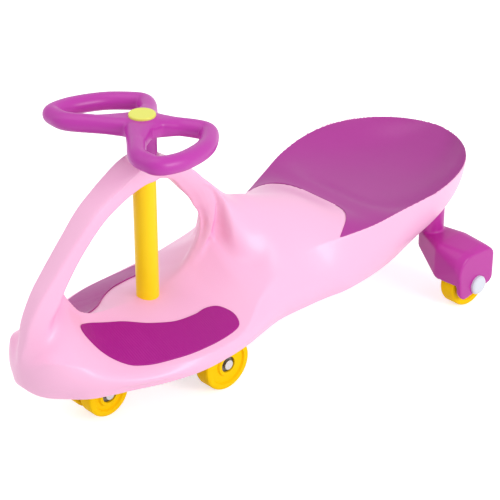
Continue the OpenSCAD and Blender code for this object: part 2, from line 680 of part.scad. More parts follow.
module bearing_pair(w) {
    for (z = [-w / 2 + bearing_inset, w / 2 - bearing_inset - bearing_w])
    tube(bearing_r, bolt_r + run_gap, z, z + bearing_w);
}
module place_front(side) {
    translate([origin_x + front_x, side * (front_face_y - wheel_w / 2), wheel_r])
    turned(0)
    children();
}
module place_safety(side) {
    translate([origin_x + safety_axle_front, side * (safety_face_y - safety_w / 2), safety_z])
    turned(0)
    children();
}
module place_rear(side) {
    translate([origin_x + rear_x, side * (rear_face_y - wheel_w / 2), wheel_r])
    turned(0)
    children();
}
module front_wheel_left() {
    color("orange")
    place_front(1)
    wheel_body(wheel_r, wheel_w);
}
module front_wheel_right() {
    color("orange")
    place_front(-1)
    wheel_body(wheel_r, wheel_w);
}
module safety_wheel_left() {
    color("orange")
    place_safety(1)
    wheel_body(safety_r, safety_w);
}
module safety_wheel_right() {
    color("orange")
    place_safety(-1)
    wheel_body(safety_r, safety_w);
}
module rear_wheel_left() {
    color("orange")
    place_rear(1)
    wheel_body(wheel_r, wheel_w);
}
module rear_wheel_right() {
    color("orange")
    place_rear(-1)
    wheel_body(wheel_r, wheel_w);
}
module front_bearings_left() {
    color("silver")
    place_front(1)
    bearing_pair(wheel_w);
}
module front_bearings_right() {
    color("silver")
    place_front(-1)
    bearing_pair(wheel_w);
}
module safety_bearings_left() {
    color("silver")
    place_safety(1)
    bearing_pair(safety_w);
}
module safety_bearings_right() {
    color("silver")
    place_safety(-1)
    bearing_pair(safety_w);
}
module rear_bearings_left() {
    color("silver")
    place_rear(1)
    bearing_pair(wheel_w);
}
module rear_bearings_right() {
    color("silver")
    place_rear(-1)
    bearing_pair(wheel_w);
}

// Axle bolts, nuts and spacers, drawn for the left side with the axis along Y
front_head_y = front_face_y - bearing_inset + head_gap;
front_inner_y = front_face_y - wheel_w + bearing_inset - head_gap;
front_nut_y = flange_y - axle_nut_t;
safety_head_y = safety_face_y - bearing_inset + head_gap;
safety_inner_y = safety_face_y - safety_w + bearing_inset - head_gap;
bolt_tail = 2;
module front_axle() {
    translate([front_x, 0, wheel_r])
    turned(0) {
        post(head_r, front_head_y, front_head_y + head_t);
        post(bolt_r, front_nut_y - bolt_tail, front_head_y + 1);
    }
}
module hex_nut(low) {
    difference() {
        post(axle_nut_r, low, low + axle_nut_t, 6);
        post(bolt_r + run_gap, low - 1, low + axle_nut_t + 1);
    }
}
module front_axle_left() {
    color("silver")
    translate([origin_x, 0, 0])
    front_axle();
}
module front_axle_right() {
    color("silver")
    translate([origin_x, 0, 0])
    mirror([0, 1, 0])
    front_axle();
}
module safety_axle() {
    color("silver")
    translate([origin_x + safety_axle_front, 0, safety_z])
    turned(0) {
        post(head_r, safety_head_y, safety_head_y + head_t);
        post(bolt_r, -safety_head_y - axle_nut_t - bolt_tail, safety_head_y + 1);
    }
}
module axle_nuts() {
    color("silver")
    translate([origin_x, 0, 0]) {
        for (side = [0, 1])
        mirror([0, side, 0])
        translate([front_x, 0, wheel_r])
        turned(0)
        hex_nut(front_nut_y);
        translate([safety_axle_front, 0, safety_z])
        turned(0)
        hex_nut(-safety_head_y - axle_nut_t);
    }
}
module axle_spacers() {
    color("silver")
    translate([origin_x, 0, 0])
    for (side = [0, 1])
    mirror([0, side, 0]) {
        translate([front_x, 0, wheel_r])
        turned(0)
        tube(spacer_r, bolt_r + run_gap, flange_y + plate_t, front_inner_y);
        translate([safety_axle_front, 0, safety_z])
        turned(0)
        tube(spacer_r, bolt_r + run_gap, web_half, safety_inner_y);
    }
}

// Rear brackets: a stem in the body, an arm and a hood over the wheel
plate_in_y = rear_face_y + 5;
plate_out_y = plate_in_y + hood_wall + 2;
ear_in_y = rear_face_y - wheel_w - 8;
ear_out_y = ear_in_y + hood_wall + 1;
hood_room = 1.6;
hood_front = wheel_r + hood_room + 2.6;
hood_back = 33;
nut_room = 0.5;
hood_low_z = wheel_r + axle_nut_r + nut_room;
plate_top_z = hood_top_z - 9;
hood_lip_z = 19;
slab = 1;
ear_r = 10;
// Corner of the hood: place along the car from the axle, height and radius
module corner(y, dx, z, r) {
    translate([rear_x + dx, y, z])
    rotate([-90, 0, 0])
    cylinder(r = r, h = slab, $fn = 32);
}
// Inner end of the hood, where the arm meets it
module hood_root() {
    corner(ear_in_y, hood_front - 10, hood_top_z - 10, 10);
    corner(ear_in_y, 26 - hood_back, hood_top_z - 26, 26);
    corner(ear_in_y, hood_front - 5, hood_low_z + 5, 5);
    corner(ear_in_y, 5 - hood_back, hood_low_z + 5, 5);
}
module hood_form() {
    hull() {
        hood_root();
        corner(plate_in_y - 3, hood_front - 24, plate_top_z - 20, 24);
        corner(plate_in_y - 3, 22 - hood_back, plate_top_z - 18, 22);
        corner(plate_out_y - slab, hood_front - 28, plate_top_z - 26, 26);
        corner(plate_out_y - slab, 14 - hood_back, plate_top_z - 16, 14);
        corner(plate_out_y - slab, hood_front - 18, hood_lip_z + 15, 13);
        corner(plate_out_y - slab, 10 - hood_back, hood_lip_z + 20, 10);
    }
}
module rear_bracket() {
    difference() {
        union() {
            translate([stem_x, stem_y, 0])
            post(stem_r, stem_low_z, stem_top_z);
            hull() {
                translate([stem_x, stem_y, 0])
                post(stem_r, stem_low_z, hood_top_z - 2, 32);
                hood_root();
            }
            hood_form();
            translate([rear_x, 0, wheel_r])
            turned(ear_in_y)
            cylinder(r = ear_r, h = ear_out_y - ear_in_y, $fn = fine);
        }
        translate([rear_x, 0, wheel_r])
        turned(ear_out_y)
        cylinder(r = wheel_r + hood_room, h = plate_in_y - ear_out_y, $fn = 2 * fine);
        translate([rear_x - 2 * wheel_r, ear_out_y, 0])
        cube([4 * wheel_r, plate_in_y - ear_out_y, hood_low_z]);
        translate([rear_x, 0, wheel_r])
        turned(ear_in_y - 1)
        cylinder(r = bolt_r + run_gap, h = plate_out_y - ear_in_y + 2, $fn = fine);
        translate([stem_x, stem_y, 0]) {
            post(screw_r + run_gap, stem_low_z - 1, stem_top_z + 1, 24);
            post(screw_head_r + 1, 0, stem_low_z, 24);
        }
    }
}
module rear_bracket_left() {
    color("purple")
    translate([origin_x, 0, 0])
    rear_bracket();
}
module rear_bracket_right() {
    color("purple")
    translate([origin_x, 0, 0])
    mirror([0, 1, 0])
    rear_bracket();
}
module bracket_screws() {
    color("silver")
    translate([origin_x, 0, 0])
    for (side = [-1, 1])
    translate([stem_x, side * stem_y, 0]) {
        post(screw_r, stem_low_z - 1, screw_top_z, 24);
        post(screw_head_r, stem_low_z - screw_head_t, stem_low_z, 24);
    }
}
rear_head_t = 3.5;
rear_inner_y = rear_face_y - wheel_w + bearing_inset - head_gap;
rear_outer_y = rear_face_y - bearing_inset + head_gap;
module rear_axle() {
    translate([rear_x, 0, wheel_r])
    turned(0) {
        post(head_r, plate_out_y, plate_out_y + rear_head_t);
        post(bolt_r, ear_in_y - axle_nut_t - bolt_tail, plate_out_y + 1);
    }
}
module rear_axle_left() {
    color("silver")
    translate([origin_x, 0, 0])
    rear_axle();
}
module rear_axle_right() {
    color("silver")
    translate([origin_x, 0, 0])
    mirror([0, 1, 0])
    rear_axle();
}
module rear_axle_nuts() {
    color("silver")
    translate([origin_x, 0, 0])
    for (side = [0, 1])
    mirror([0, side, 0])
    translate([rear_x, 0, wheel_r])
    turned(0)
    hex_nut(ear_in_y - axle_nut_t);
}
module rear_axle_spacers() {
    color("silver")
    translate([origin_x, 0, 0])
    for (side = [0, 1])
    mirror([0, side, 0])
    translate([rear_x, 0, wheel_r])
    turned(0) {
        tube(spacer_r, bolt_r + run_gap, ear_out_y, rear_inner_y);
        tube(spacer_r, bolt_r + run_gap, rear_outer_y, plate_in_y);
    }
}
hub_cap_h = 6;
hub_cap_wall = 1.8;
module rear_hub_cap() {
    translate([rear_x, plate_out_y, wheel_r])
    turned(0)
    rotate_extrude($fn = fine)
    polygon([[head_r + 1, 0], [hub_cap_r, 0], [hub_cap_r, hub_cap_h - 3], [hub_cap_r - 1.5, hub_cap_h - 1],
        [hub_cap_r - 4, hub_cap_h], [0, hub_cap_h], [0, hub_cap_h - hub_cap_wall],
        [head_r + 1, hub_cap_h - hub_cap_wall]]);
}
module rear_hub_cap_left() {
    color("white")
    translate([origin_x, 0, 0])
    rear_hub_cap();
}
module rear_hub_cap_right() {
    color("white")
    translate([origin_x, 0, 0])
    mirror([0, 1, 0])
    rear_hub_cap();
}

body_shell();
seat_pad();
foot_pad_left();
foot_pad_right();
upper_bushing();
lower_bushing();
rear_bracket_left();
rear_bracket_right();
bracket_screws();
rear_axle_left();
rear_axle_right();
rear_axle_nuts();
rear_axle_spacers();
rear_hub_cap_left();
rear_hub_cap_right();
steering_wheel();
steering_cap();
steering_column();
steering_shaft();
steering_nut();
frame_nut();
thrust_washer();
swing_frame();
front_axle_left();
front_axle_right();
safety_axle();
axle_nuts();
axle_spacers();
front_wheel_left();
front_wheel_right();
safety_wheel_left();
safety_wheel_right();
rear_wheel_left();
rear_wheel_right();
front_bearings_left();
front_bearings_right();
safety_bearings_left();
safety_bearings_right();
rear_bearings_left();
rear_bearings_right();
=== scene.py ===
import math

import bmesh
import bpy
import numpy as np
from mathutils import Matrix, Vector
from mathutils.bvhtree import BVHTree


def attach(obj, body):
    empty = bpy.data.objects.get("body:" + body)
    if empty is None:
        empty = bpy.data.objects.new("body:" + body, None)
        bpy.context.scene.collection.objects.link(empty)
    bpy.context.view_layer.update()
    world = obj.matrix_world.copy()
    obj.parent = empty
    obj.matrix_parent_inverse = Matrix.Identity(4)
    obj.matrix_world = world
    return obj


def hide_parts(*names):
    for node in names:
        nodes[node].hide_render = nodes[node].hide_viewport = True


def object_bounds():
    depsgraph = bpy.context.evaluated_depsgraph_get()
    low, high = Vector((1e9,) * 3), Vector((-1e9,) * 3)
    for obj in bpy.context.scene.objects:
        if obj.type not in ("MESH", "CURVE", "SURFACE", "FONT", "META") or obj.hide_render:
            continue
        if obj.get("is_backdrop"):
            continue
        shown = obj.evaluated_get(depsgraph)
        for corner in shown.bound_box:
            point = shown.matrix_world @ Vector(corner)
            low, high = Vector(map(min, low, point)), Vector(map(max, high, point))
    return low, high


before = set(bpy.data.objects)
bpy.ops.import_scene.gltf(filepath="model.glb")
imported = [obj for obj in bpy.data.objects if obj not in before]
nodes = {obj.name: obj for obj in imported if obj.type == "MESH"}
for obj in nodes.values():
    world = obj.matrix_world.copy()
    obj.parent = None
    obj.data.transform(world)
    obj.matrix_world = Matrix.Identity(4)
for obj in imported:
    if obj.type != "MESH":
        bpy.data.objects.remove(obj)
cad_low, cad_high = (list(corner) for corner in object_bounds())

# Sizes of the shell in millimetres from the steering axis, close to the part's source
MM = 0.001
ORIGIN_X = 172
FRONT = 205
TAIL = -549
TIP = -254
WIDE = -400
WAIST = (TIP - 136) / 2
UNDER = 78
SKIRT_ROUND = 9
DECK_W = 115
SKIRT_W = 118
DECK_RIM = 101
CROWN = 137
WAIST_W = 75
WAIST_Z = 152
SADDLE = 226
ARCH_TOP = 328
HUB_W = 21
HUB_D = 28
SEAT_W = 123
SEAT_RIM = 190
SEAT_TIP_Z = 154
SEAT_LOW = 153
SEAT_T = 4
SEAT_LIP = 1.2
SEAT_EDGE = 0.9
SEAT_PROUD = 0.3
SEAT_EDGE_T = 0.6
PAD_T = 4
PAD_PROUD = 1.6

RIM_PLAN = [
    (FRONT, 86), (FRONT - 20, 92), (160, 92), (132, 92), (90, 99), (40, DECK_W - 5), (0, DECK_W),
    (-40, DECK_W), (-60, DECK_W - 3), (-80, WAIST_W + 29), (-105, WAIST_W + 17), (-145, WAIST_W + 7),
    (WAIST, WAIST_W + 2), (-225, WAIST_W + 4), (TIP, WAIST_W + 14), (-302, 105), (-346, 116),
    (WIDE, SEAT_W), (TAIL, SEAT_W)]
SKIRT_PLAN = [
    (FRONT, SKIRT_W - 20), (150, SKIRT_W - 14), (90, SKIRT_W - 6), (0, SKIRT_W), (-40, SKIRT_W - 1),
    (-71, SKIRT_W - 5), (-105, SKIRT_W - 14), (-145, SKIRT_W - 20), (WAIST, SKIRT_W - 21),
    (-225, SKIRT_W - 19), (TIP, SKIRT_W - 15), (-302, SEAT_W - 15), (-346, SEAT_W - 11),
    (WIDE, SEAT_W - 11), (-450, SEAT_W - 11), (TAIL, SEAT_W - 9)]
BASE_PLAN = [
    (FRONT, 76), (174, 88), (151, 101), (104, 104), (58, DECK_W - 3), (17, DECK_W + 2), (-30, DECK_W + 2),
    (-71, DECK_W - 3), (-105, 104), (-142, 97), (WAIST, 98), (-225, 100), (TIP, 104), (-302, 103),
    (-346, 99), (WIDE, 91), (-450, 89), (-500, 92), (TAIL, 95)]
RIM_RISE = [
    (FRONT, 120), (FRONT - 20, 132), (160, 126), (132, 113), (90, 104), (40, DECK_RIM + 1), (0, DECK_RIM),
    (-40, DECK_RIM + 1), (-60, DECK_RIM + 4), (-80, WAIST_Z - 40), (-105, WAIST_Z - 28),
    (-145, WAIST_Z - 13), (WAIST, WAIST_Z - 5), (TIP, SEAT_TIP_Z), (-302, SEAT_TIP_Z + 8),
    (-346, SEAT_RIM - 17), (WIDE, SEAT_RIM - 9), (-450, SEAT_RIM - 3), (-500, SEAT_RIM - 1),
    (TAIL, SEAT_RIM)]
SKIRT_RISE = [
    (FRONT, 110), (150, 104), (90, 96), (0, 92), (-40, 92), (-80, 96), (-105, 101), (-145, 108),
    (TIP, 112), (-346, 124), (WIDE, 132), (-450, 142), (-500, 155), (TAIL, SEAT_RIM - 14)]
BASE_RISE = [
    (FRONT, UNDER + 17), (FRONT - 5, UNDER + 9), (FRONT - 13, UNDER + 3), (FRONT - 27, UNDER),
    (120, UNDER), (-200, UNDER), (TIP, UNDER), (-321, UNDER + 3), (-366, UNDER + 9), (-416, UNDER + 20),
    (-467, UNDER + 37), (-500, UNDER + 53), (-525, UNDER + 68), (TAIL, UNDER + 88)]
CROWN_RISE = [
    (FRONT, 118), (FRONT - 10, 130), (FRONT - 25, 157), (FRONT - 40, 190), (FRONT - 55, 204), (135, 196),
    (122, 175), (110, 158), (95, 148), (80, 143), (60, 140), (30, CROWN), (-22, CROWN), (-47, CROWN + 8),
    (-64, SADDLE - 70), (-76, SADDLE - 57), (-86, SADDLE - 43), (-97, SADDLE - 24), (-110, SADDLE - 10),
    (-125, SADDLE - 3), (-145, SADDLE), (-168, SADDLE - 9), (-200, SADDLE - 23), (TIP, SADDLE - 41),
    (-305, 163.5), (-350, 167), (WIDE, 174), (-450, 181), (-500, 187), (TAIL, SEAT_RIM)]
CROWN_POWER = [
    (FRONT, 0.7), (150, 0.5), (115, 0.6), (60, 1.1), (20, 1.5), (-20, 1.5), (-47, 1.1), (-64, 0.85),
    (-90, 0.65), (-105, 0.6), (-118, 0.55), (-131, 0.6), (-146, 1), (-162, 1.6), (TIP, 2), (TAIL, 2)]


def curve(rows, x):
    """Value at x of the smooth curve through rows of (place, value)."""
    last = len(rows) - 1
    i = 0
    while i < last - 1 and x < rows[i + 1][0]:
        i += 1

    def slope(k):
        a, b = max(k - 1, 0), min(k + 1, last)
        return (rows[b][1] - rows[a][1]) / (rows[b][0] - rows[a][0])

    step = rows[i + 1][0] - rows[i][0]
    t = (x - rows[i][0]) / step
    return (rows[i][1] * (2 * t**3 - 3 * t**2 + 1) + slope(i) * step * (t**3 - 2 * t**2 + t)
            + rows[i + 1][1] * (3 * t**2 - 2 * t**3) + slope(i + 1) * step * (t**3 - t**2))


def end_share(x):
    if x > 0:
        return math.sqrt(max(0.0, 1 - (x / FRONT) ** 2))
    if x < WIDE:
        return math.sqrt(max(0.0, 1 - ((x - WIDE) / (TAIL - WIDE)) ** 2))
    return 1.0


def rim_y(x):
    return curve(RIM_PLAN, x) * end_share(x)


def top_z(x, y):
    rim = curve(RIM_RISE, x)
    share = min(1.0, abs(y) / max(rim_y(x), 0.01))
    return rim + (curve(CROWN_RISE, x) - rim) * (1 - share ** curve(CROWN_POWER, x))


# Seat: a shallow bowl whose front edge is the curved edge of the saddle
SEAT_FRONT = TIP - 51
TONGUE_POWER = 4
SEAT_LINE = [
    (WAIST, curve(CROWN_RISE, WAIST)), (TIP, curve(CROWN_RISE, TIP)),
    (SEAT_FRONT, curve(CROWN_RISE, SEAT_FRONT)), (-330, SEAT_LOW + 9),
    (-360, SEAT_LOW + 2.5), (-395, SEAT_LOW), (-430, SEAT_LOW), (-465, SEAT_LOW + 2), (-500, SEAT_LOW + 9),
    (-525, SEAT_LOW + 19), (-540, SEAT_LOW + 29), (TAIL, SEAT_RIM)]
SEAT_POWER = [(WAIST, 2), (SEAT_FRONT, 2), (-345, 2.7), (WIDE, 3.4), (-460, 3.8), (TAIL, 3.8)]
SEAT_TIP_Y = rim_y(TIP) - SEAT_LIP


def seat_z(x, y):
    low = curve(SEAT_LINE, x)
    share = min(1.0, abs(y) / max(rim_y(x), 0.01))
    return low + (curve(RIM_RISE, x) - low) * share ** curve(SEAT_POWER, x)


def tongue_x(y):
    return SEAT_FRONT + (TIP - SEAT_FRONT) * min(1.0, abs(y) / SEAT_TIP_Y) ** TONGUE_POWER


def in_seat(x, y):
    if x > tongue_x(y) or x < TAIL + SEAT_LIP:
        return False
    if x >= WIDE:
        return abs(y) < rim_y(x) - SEAT_LIP
    along = (x - WIDE) / (TAIL + SEAT_LIP - WIDE)
    return abs(y) < (SEAT_W - SEAT_LIP) * math.sqrt(max(0.0, 1 - along ** 2))


# Mesh tools
SMOOTH_STEP = 0.5
SWELL_STEP = -0.53


def new_object(name, points, faces):
    mesh = bpy.data.meshes.new(name)
    mesh.from_pydata([tuple(p) for p in points], [], faces)
    form = bmesh.new()
    form.from_mesh(mesh)
    bmesh.ops.recalc_face_normals(form, faces=form.faces)
    form.to_mesh(mesh)
    form.free()
    obj = bpy.data.objects.new(name, mesh)
    bpy.context.scene.collection.objects.link(obj)
    return obj


def placed(points):
    """Points from the source's frame in millimetres to the scene's frame in metres."""
    out = np.array(points, dtype=float)
    out[:, 0] += ORIGIN_X
    return out * MM


def ring_faces(rings, n, closed=False):
    """Quads over rings of n points, with end faces unless the last ring meets the first."""
    faces = []
    for i in range(rings if closed else rings - 1):
        for j in range(n):
            a, b = i * n, ((i + 1) % rings) * n
            faces.append((a + j, a + (j + 1) % n, b + (j + 1) % n, b + j))
    if not closed:
        faces.append(tuple(range(n)))
        faces.append(tuple((rings - 1) * n + j for j in range(n)))
    return faces


def joined(name, parts):
    points, faces = [], []
    for part_points, part_faces in parts:
        start = len(points)
        points += [tuple(p) for p in part_points]
        faces += [tuple(start + k for k in f) for f in part_faces]
    return new_object(name, points, faces)


def remeshed(obj, voxel):
    """Replaces the object's mesh by one even skin around all of its forms."""
    mod = obj.modifiers.new("skin", "REMESH")
    mod.mode = "VOXEL"
    mod.voxel_size = voxel
    mod.adaptivity = 0.0
    graph = bpy.context.evaluated_depsgraph_get()
    mesh = bpy.data.meshes.new_from_object(obj.evaluated_get(graph))
    obj.modifiers.remove(mod)
    old = obj.data
    obj.data = mesh
    mesh.name = obj.name
    bpy.data.meshes.remove(old)
    return obj


def coords(mesh):
    co = np.empty(len(mesh.vertices) * 3)
    mesh.vertices.foreach_get("co", co)
    return co.reshape(-1, 3)


def relax(obj, rounds, weight=None, keep_volume=True):
    """Smooths the mesh; weight says how much each vertex may move."""
    mesh = obj.data
    co = coords(mesh)
    ends = np.empty(len(mesh.edges) * 2, dtype=np.int32)
    mesh.edges.foreach_get("vertices", ends)
    a, b = ends.reshape(-1, 2).T
    count = np.bincount(a, minlength=len(co)) + np.bincount(b, minlength=len(co))
    share = np.ones(len(co)) if weight is None else weight
    steps = (SMOOTH_STEP, SWELL_STEP) if keep_volume else (SMOOTH_STEP,)
    for _ in range(rounds):
        for step in steps:
            mean = np.empty_like(co)
            for k in range(3):
                total = np.bincount(a, weights=co[b, k], minlength=len(co))
                total += np.bincount(b, weights=co[a, k], minlength=len(co))
                mean[:, k] = total / np.maximum(count, 1)
            co = co + (mean - co) * (step * share)[:, None]
    mesh.vertices.foreach_set("co", co.ravel())
    mesh.update()


def nearness(obj, first, second, reach, wanted):
    """One where both forms are close, falling to zero at reach; wanted picks the vertices to look at."""
    trees = []
    for points, faces in (first, second):
        trees.append(BVHTree.FromPolygons([tuple(p) for p in points], [f for f in faces if len(f) <= 4]))
    co = coords(obj.data)
    out = np.zeros(len(co))
    for k in np.nonzero(wanted(co))[0]:
        far = 0.0
        for tree in trees:
            hit = tree.find_nearest(Vector(co[k]), reach)
            if hit[0] is None:
                far = reach
                break
            far = max(far, hit[3])
        out[k] = 1 - far / reach
    return out


def ramp(value, start, end):
    """Zero at start, one at end and beyond; start may be the larger."""
    return np.clip((value - start) / (end - start), 0, 1)


def smooth_shade(obj):
    obj.data.polygons.foreach_set("use_smooth", [True] * len(obj.data.polygons))
    obj.data.update()


# Shell: hull, arch, spine, prow and hub, joined into one moulded skin
GROOVES = [-128 - 16 * k for k in range(8)]
GROOVE_HALF_WIDTH = 3
GROOVE_HALF_LENGTH = 45
GROOVE_DEPTH = 3
GROOVE_EASE = 0.5
SEAT_SINK = 1.5
UNDER_STEPS = 20
ROUND_STEP = 10
SIDE_STEPS = 20
TOP_STEPS = 40
BODY_STEPS = 200
END_STEP = 1.5
END_STEPS = range(2, 60)


def underside(x, y, base):
    for g in GROOVES:
        if abs(x - g) < GROOVE_HALF_WIDTH + GROOVE_EASE and abs(y) < GROOVE_HALF_LENGTH:
            return base + GROOVE_DEPTH
    return base


def shell_top(x, y):
    if in_seat(x, y):
        return min(top_z(x, y), seat_z(x, y)) - SEAT_SINK
    if x < tongue_x(y):
        return min(top_z(x, y), seat_z(x, y))
    return top_z(x, y)


def hull_ring(x):
    """Outline of the hull at x: underside, rounded lower edge, side and top."""
    share = end_share(x)
    base_y = curve(BASE_PLAN, x) * share
    skirt_y = curve(SKIRT_PLAN, x) * share
    rim = np.array([rim_y(x), curve(RIM_RISE, x)])
    base_z = curve(BASE_RISE, x)
    r = min(SKIRT_ROUND, base_y / 2)
    low = np.array([base_y, base_z + r])
    pull = 2 * np.array([skirt_y, curve(SKIRT_RISE, x)]) - (low + rim) / 2
    half = []
    for k in range(UNDER_STEPS + 1):
        y = (base_y - r) * k / UNDER_STEPS
        half.append((y, underside(x, y, base_z)))
    for k in range(1, 90 // ROUND_STEP + 1):
        a = math.radians(ROUND_STEP * k)
        half.append((base_y - r + r * math.sin(a), base_z + r - r * math.cos(a)))
    for k in range(1, SIDE_STEPS):
        t = k / SIDE_STEPS
        half.append(tuple(low * (1 - t) ** 2 + pull * 2 * t * (1 - t) + rim * t ** 2))
    half.append(tuple(rim))
    lip = min(SEAT_LIP, rim[0] / 2)
    inner = [(rim[0] - lip) * (1 - k / TOP_STEPS) for k in range(TOP_STEPS + 1)]
    for y in [rim[0] - lip * 0.5] + inner:
        half.append((y, shell_top(x, y)))
    return half + [(-y, z) for y, z in reversed(half[1:-1])]


def hull_form():
    ends = [math.cos(math.radians(END_STEP * k)) for k in END_STEPS]
    stations = [FRONT * share for share in ends]
    stations += [WIDE * k / BODY_STEPS for k in range(BODY_STEPS + 1)]
    stations += [WIDE + (TAIL - WIDE) * share for share in reversed(ends)]
    rings = [hull_ring(x) for x in stations]
    points = [(x, y, z) for x, ring in zip(stations, rings) for y, z in ring]
    return placed(points), ring_faces(len(rings), len(rings[0]))


# Arch from the nose over the hub into the saddle: place, height, outer and inner half width, depth
ARCH_ROWS = [
    (FRONT - 6, 98, 4, 16, 18), (FRONT - 2, 122, 6, 19, 20), (FRONT - 8, 148, 9, 21, 23),
    (FRONT - 15, 173, 10.5, 20, 27), (FRONT - 31, 200, 12, 19, 28.5), (FRONT - 50, 222, 13.5, 18, 23),
    (126, ARCH_TOP - 75, 14.5, 18, 19.5), (96, ARCH_TOP - 45.5, 16.5, 19, 19.5),
    (73, ARCH_TOP - 30, 18, 19.5, 19.5), (46, ARCH_TOP - 15, 20, 20, 22),
    (20, ARCH_TOP - 3, HUB_W, HUB_W, HUB_D - 2), (0, ARCH_TOP, HUB_W, HUB_W, HUB_D),
    (-22, ARCH_TOP - 4, HUB_W - 2, HUB_W - 4, HUB_D), (-50, ARCH_TOP - 22, 16, 11, 24),
    (-77, ARCH_TOP - 45, 14, 6, 28), (-95, ARCH_TOP - 69, 14, 3.5, 27), (-104, SADDLE + 10, 14, 2, 25),
    (-104, SADDLE - 12, 14, 1.6, 17), (-98, SADDLE - 34, 13, 1.5, 10), (-87, SADDLE - 53, 12, 1.5, 7.5),
    (-71, SADDLE - 71, 10, 1.5, 6.5), (-50, SADDLE - 92, 7, 1.5, 6.5)]
# Ridge between the rear limb and the saddle: place, top, half width, foot
SPINE_ROWS = [
    (-72, ARCH_TOP - 46, 5, ARCH_TOP - 60), (-84, ARCH_TOP - 52, 6, ARCH_TOP - 64),
    (-92, SADDLE + 43, 5, SADDLE + 20), (-98, SADDLE + 37, 4.5, SADDLE - 36),
    (-115, SADDLE + 20.5, 4.5, SADDLE - 45), (-133, SADDLE + 5.5, 8, SADDLE - 45),
    (-156, SADDLE - 10, 8, SADDLE - 45)]
# Saddle's prow behind the rear limb: place, top, then half width and height of ridge, side, knee and foot
PROW_ROWS = [
    (-80, 277, 12.5, 274, 9, 266, 6, 262, 4, 258), (-86, 273, 14.5, 268, 10, 262, 6, 256, 4, 250),
    (-93, 268, 15.5, 263, 9, 252, 6, 246, 4, 238), (-100, 261, 16.5, 257, 10.5, 240, 9, 200, 18, 166),
    (-105, 256.5, 18, 250, 12.5, 229, 12, 196, 21, 166), (-109, 252, 20, 244, 17, 218, 18, 192, 28, 165),
    (-112, 249, 22, 239, 24, 213, 26.5, 189, 37, 163), (-115, 246, 24, 233, 29, 210, 33.5, 187, 44, 160),
    (-119, 242.5, 25.5, 228, 32, 207, 37.5, 185, 48, 158), (-128, 235, 27, 222, 36, 202, 43, 181, 54, 155),
    (-140, 226, 27, 215, 40, 193, 50, 175, 61, 155), (-155, 215, 26, 206, 45, 184, 56, 168, 66, 153),
    (-175, 203, 24, 194, 46, 175, 57, 160, 66, 148)]
PROW_LOW = 132
PROW_DEEP_FROM = -96
PROW_DEEP_DROP = 8
PROW_DROP = 5
CORNER_CUT = 0.25
ARCH_BULGE = 0.8
WEDGE = 9
WEDGE_REACH = 20
ARCH_STEPS = 10
RUN_REACH = 0.05


def spline(rows, u, closed=False):
    """Point at u on the smooth line through rows; whole numbers of u are the rows."""
    n = len(rows)
    i = int(math.floor(u)) if closed else min(int(math.floor(u)), n - 2)
    t = u - i

    def row(k):
        return np.array(rows[k % n] if closed else rows[min(max(k, 0), n - 1)], dtype=float)

    a, b, before, after = row(i), row(i + 1), row(i - 1), row(i + 2)
    return (a * (2 * t**3 - 3 * t**2 + 1) + (b - before) / 2 * (t**3 - 2 * t**2 + t)
            + b * (3 * t**2 - 2 * t**3) + (after - a) / 2 * (t**3 - t**2))


def rounded(ring):
    """Cuts the corners of a closed ring of pairs."""
    ring = [np.array(p, dtype=float) for p in ring]
    keep = 1 - CORNER_CUT
    return [p for a, b in zip(ring, ring[1:] + ring[:1])
            for p in (a * keep + b * CORNER_CUT, a * CORNER_CUT + b * keep)]


def lofted(rows, ring_at):
    """Skin through the rings that ring_at gives along the smooth line through rows."""
    steps = (len(rows) - 1) * ARCH_STEPS
    rings = [ring_at(k / ARCH_STEPS) for k in range(steps + 1)]
    return placed([p for ring in rings for p in ring]), ring_faces(len(rings), len(rings[0]))


def arch_half(x, z, w, v, d):
    """Half of the arch's section, from its outer face to its inner face."""
    back = ARCH_BULGE
    if x < 0:
        back += WEDGE * max(0.0, min(1.0, (SADDLE + WEDGE_REACH - z) / WEDGE_REACH))
    side, low = min(4, d / 3), min(1.2, d / 8)
    return [(0, -back), (w * 0.6, -back * 0.6), (w - 1.4, 0.3), (w, min(2, d / 6)),
            ((w + v) / 2 + 0.8, d / 2), (v, d - side), (v - min(1.3, v / 3), d - low),
            (v - min(4, v * 0.8), d), (0, d)]


def arch_ring(u):
    last = len(ARCH_ROWS) - 1
    x, z, *section = spline(ARCH_ROWS, u)
    run = (spline(ARCH_ROWS, min(u + RUN_REACH, last)) - spline(ARCH_ROWS, max(u - RUN_REACH, 0)))[:2]
    run = run / np.linalg.norm(run)
    half = arch_half(x, z, *section)
    ring = rounded(half + [(-y, q) for y, q in reversed(half[1:-1])])
    return [(x - run[1] * q, y, z + run[0] * q) for y, q in ring]


def spine_ring(u):
    x, top, w, foot = spline(SPINE_ROWS, u)
    half = [(0, top), (w * 0.6, top - 0.8), (w, top - 4), (w + 1, foot)]
    return [(x, y, z) for y, z in rounded(half + [(-y, q) for y, q in reversed(half[1:])])]


def prow_ring(u):
    x, top, ridge_y, ridge_z, *lower = spline(PROW_ROWS, u)
    foot_y, foot_z = lower[-2:]
    low = min(PROW_LOW, foot_z - PROW_DEEP_DROP) if x < PROW_DEEP_FROM else foot_z - PROW_DROP
    half = [(0, top), (ridge_y * 0.5, top - (top - ridge_z) * 0.2), (ridge_y - 2, ridge_z + 1.5),
            (ridge_y, ridge_z - 2), *zip(lower[::2], lower[1::2]), (foot_y, low), (0, low)]
    return [(x, y, z) for y, z in rounded(half + [(-y, q) for y, q in reversed(half[1:-1])])]


def post_form(r, low, high, sides=64):
    turns = [2 * math.pi * j / sides for j in range(sides)]
    ring = [(r * math.cos(a), r * math.sin(a)) for a in turns]
    return placed([(x, y, z) for z in (low, high) for x, y in ring]), ring_faces(2, sides)


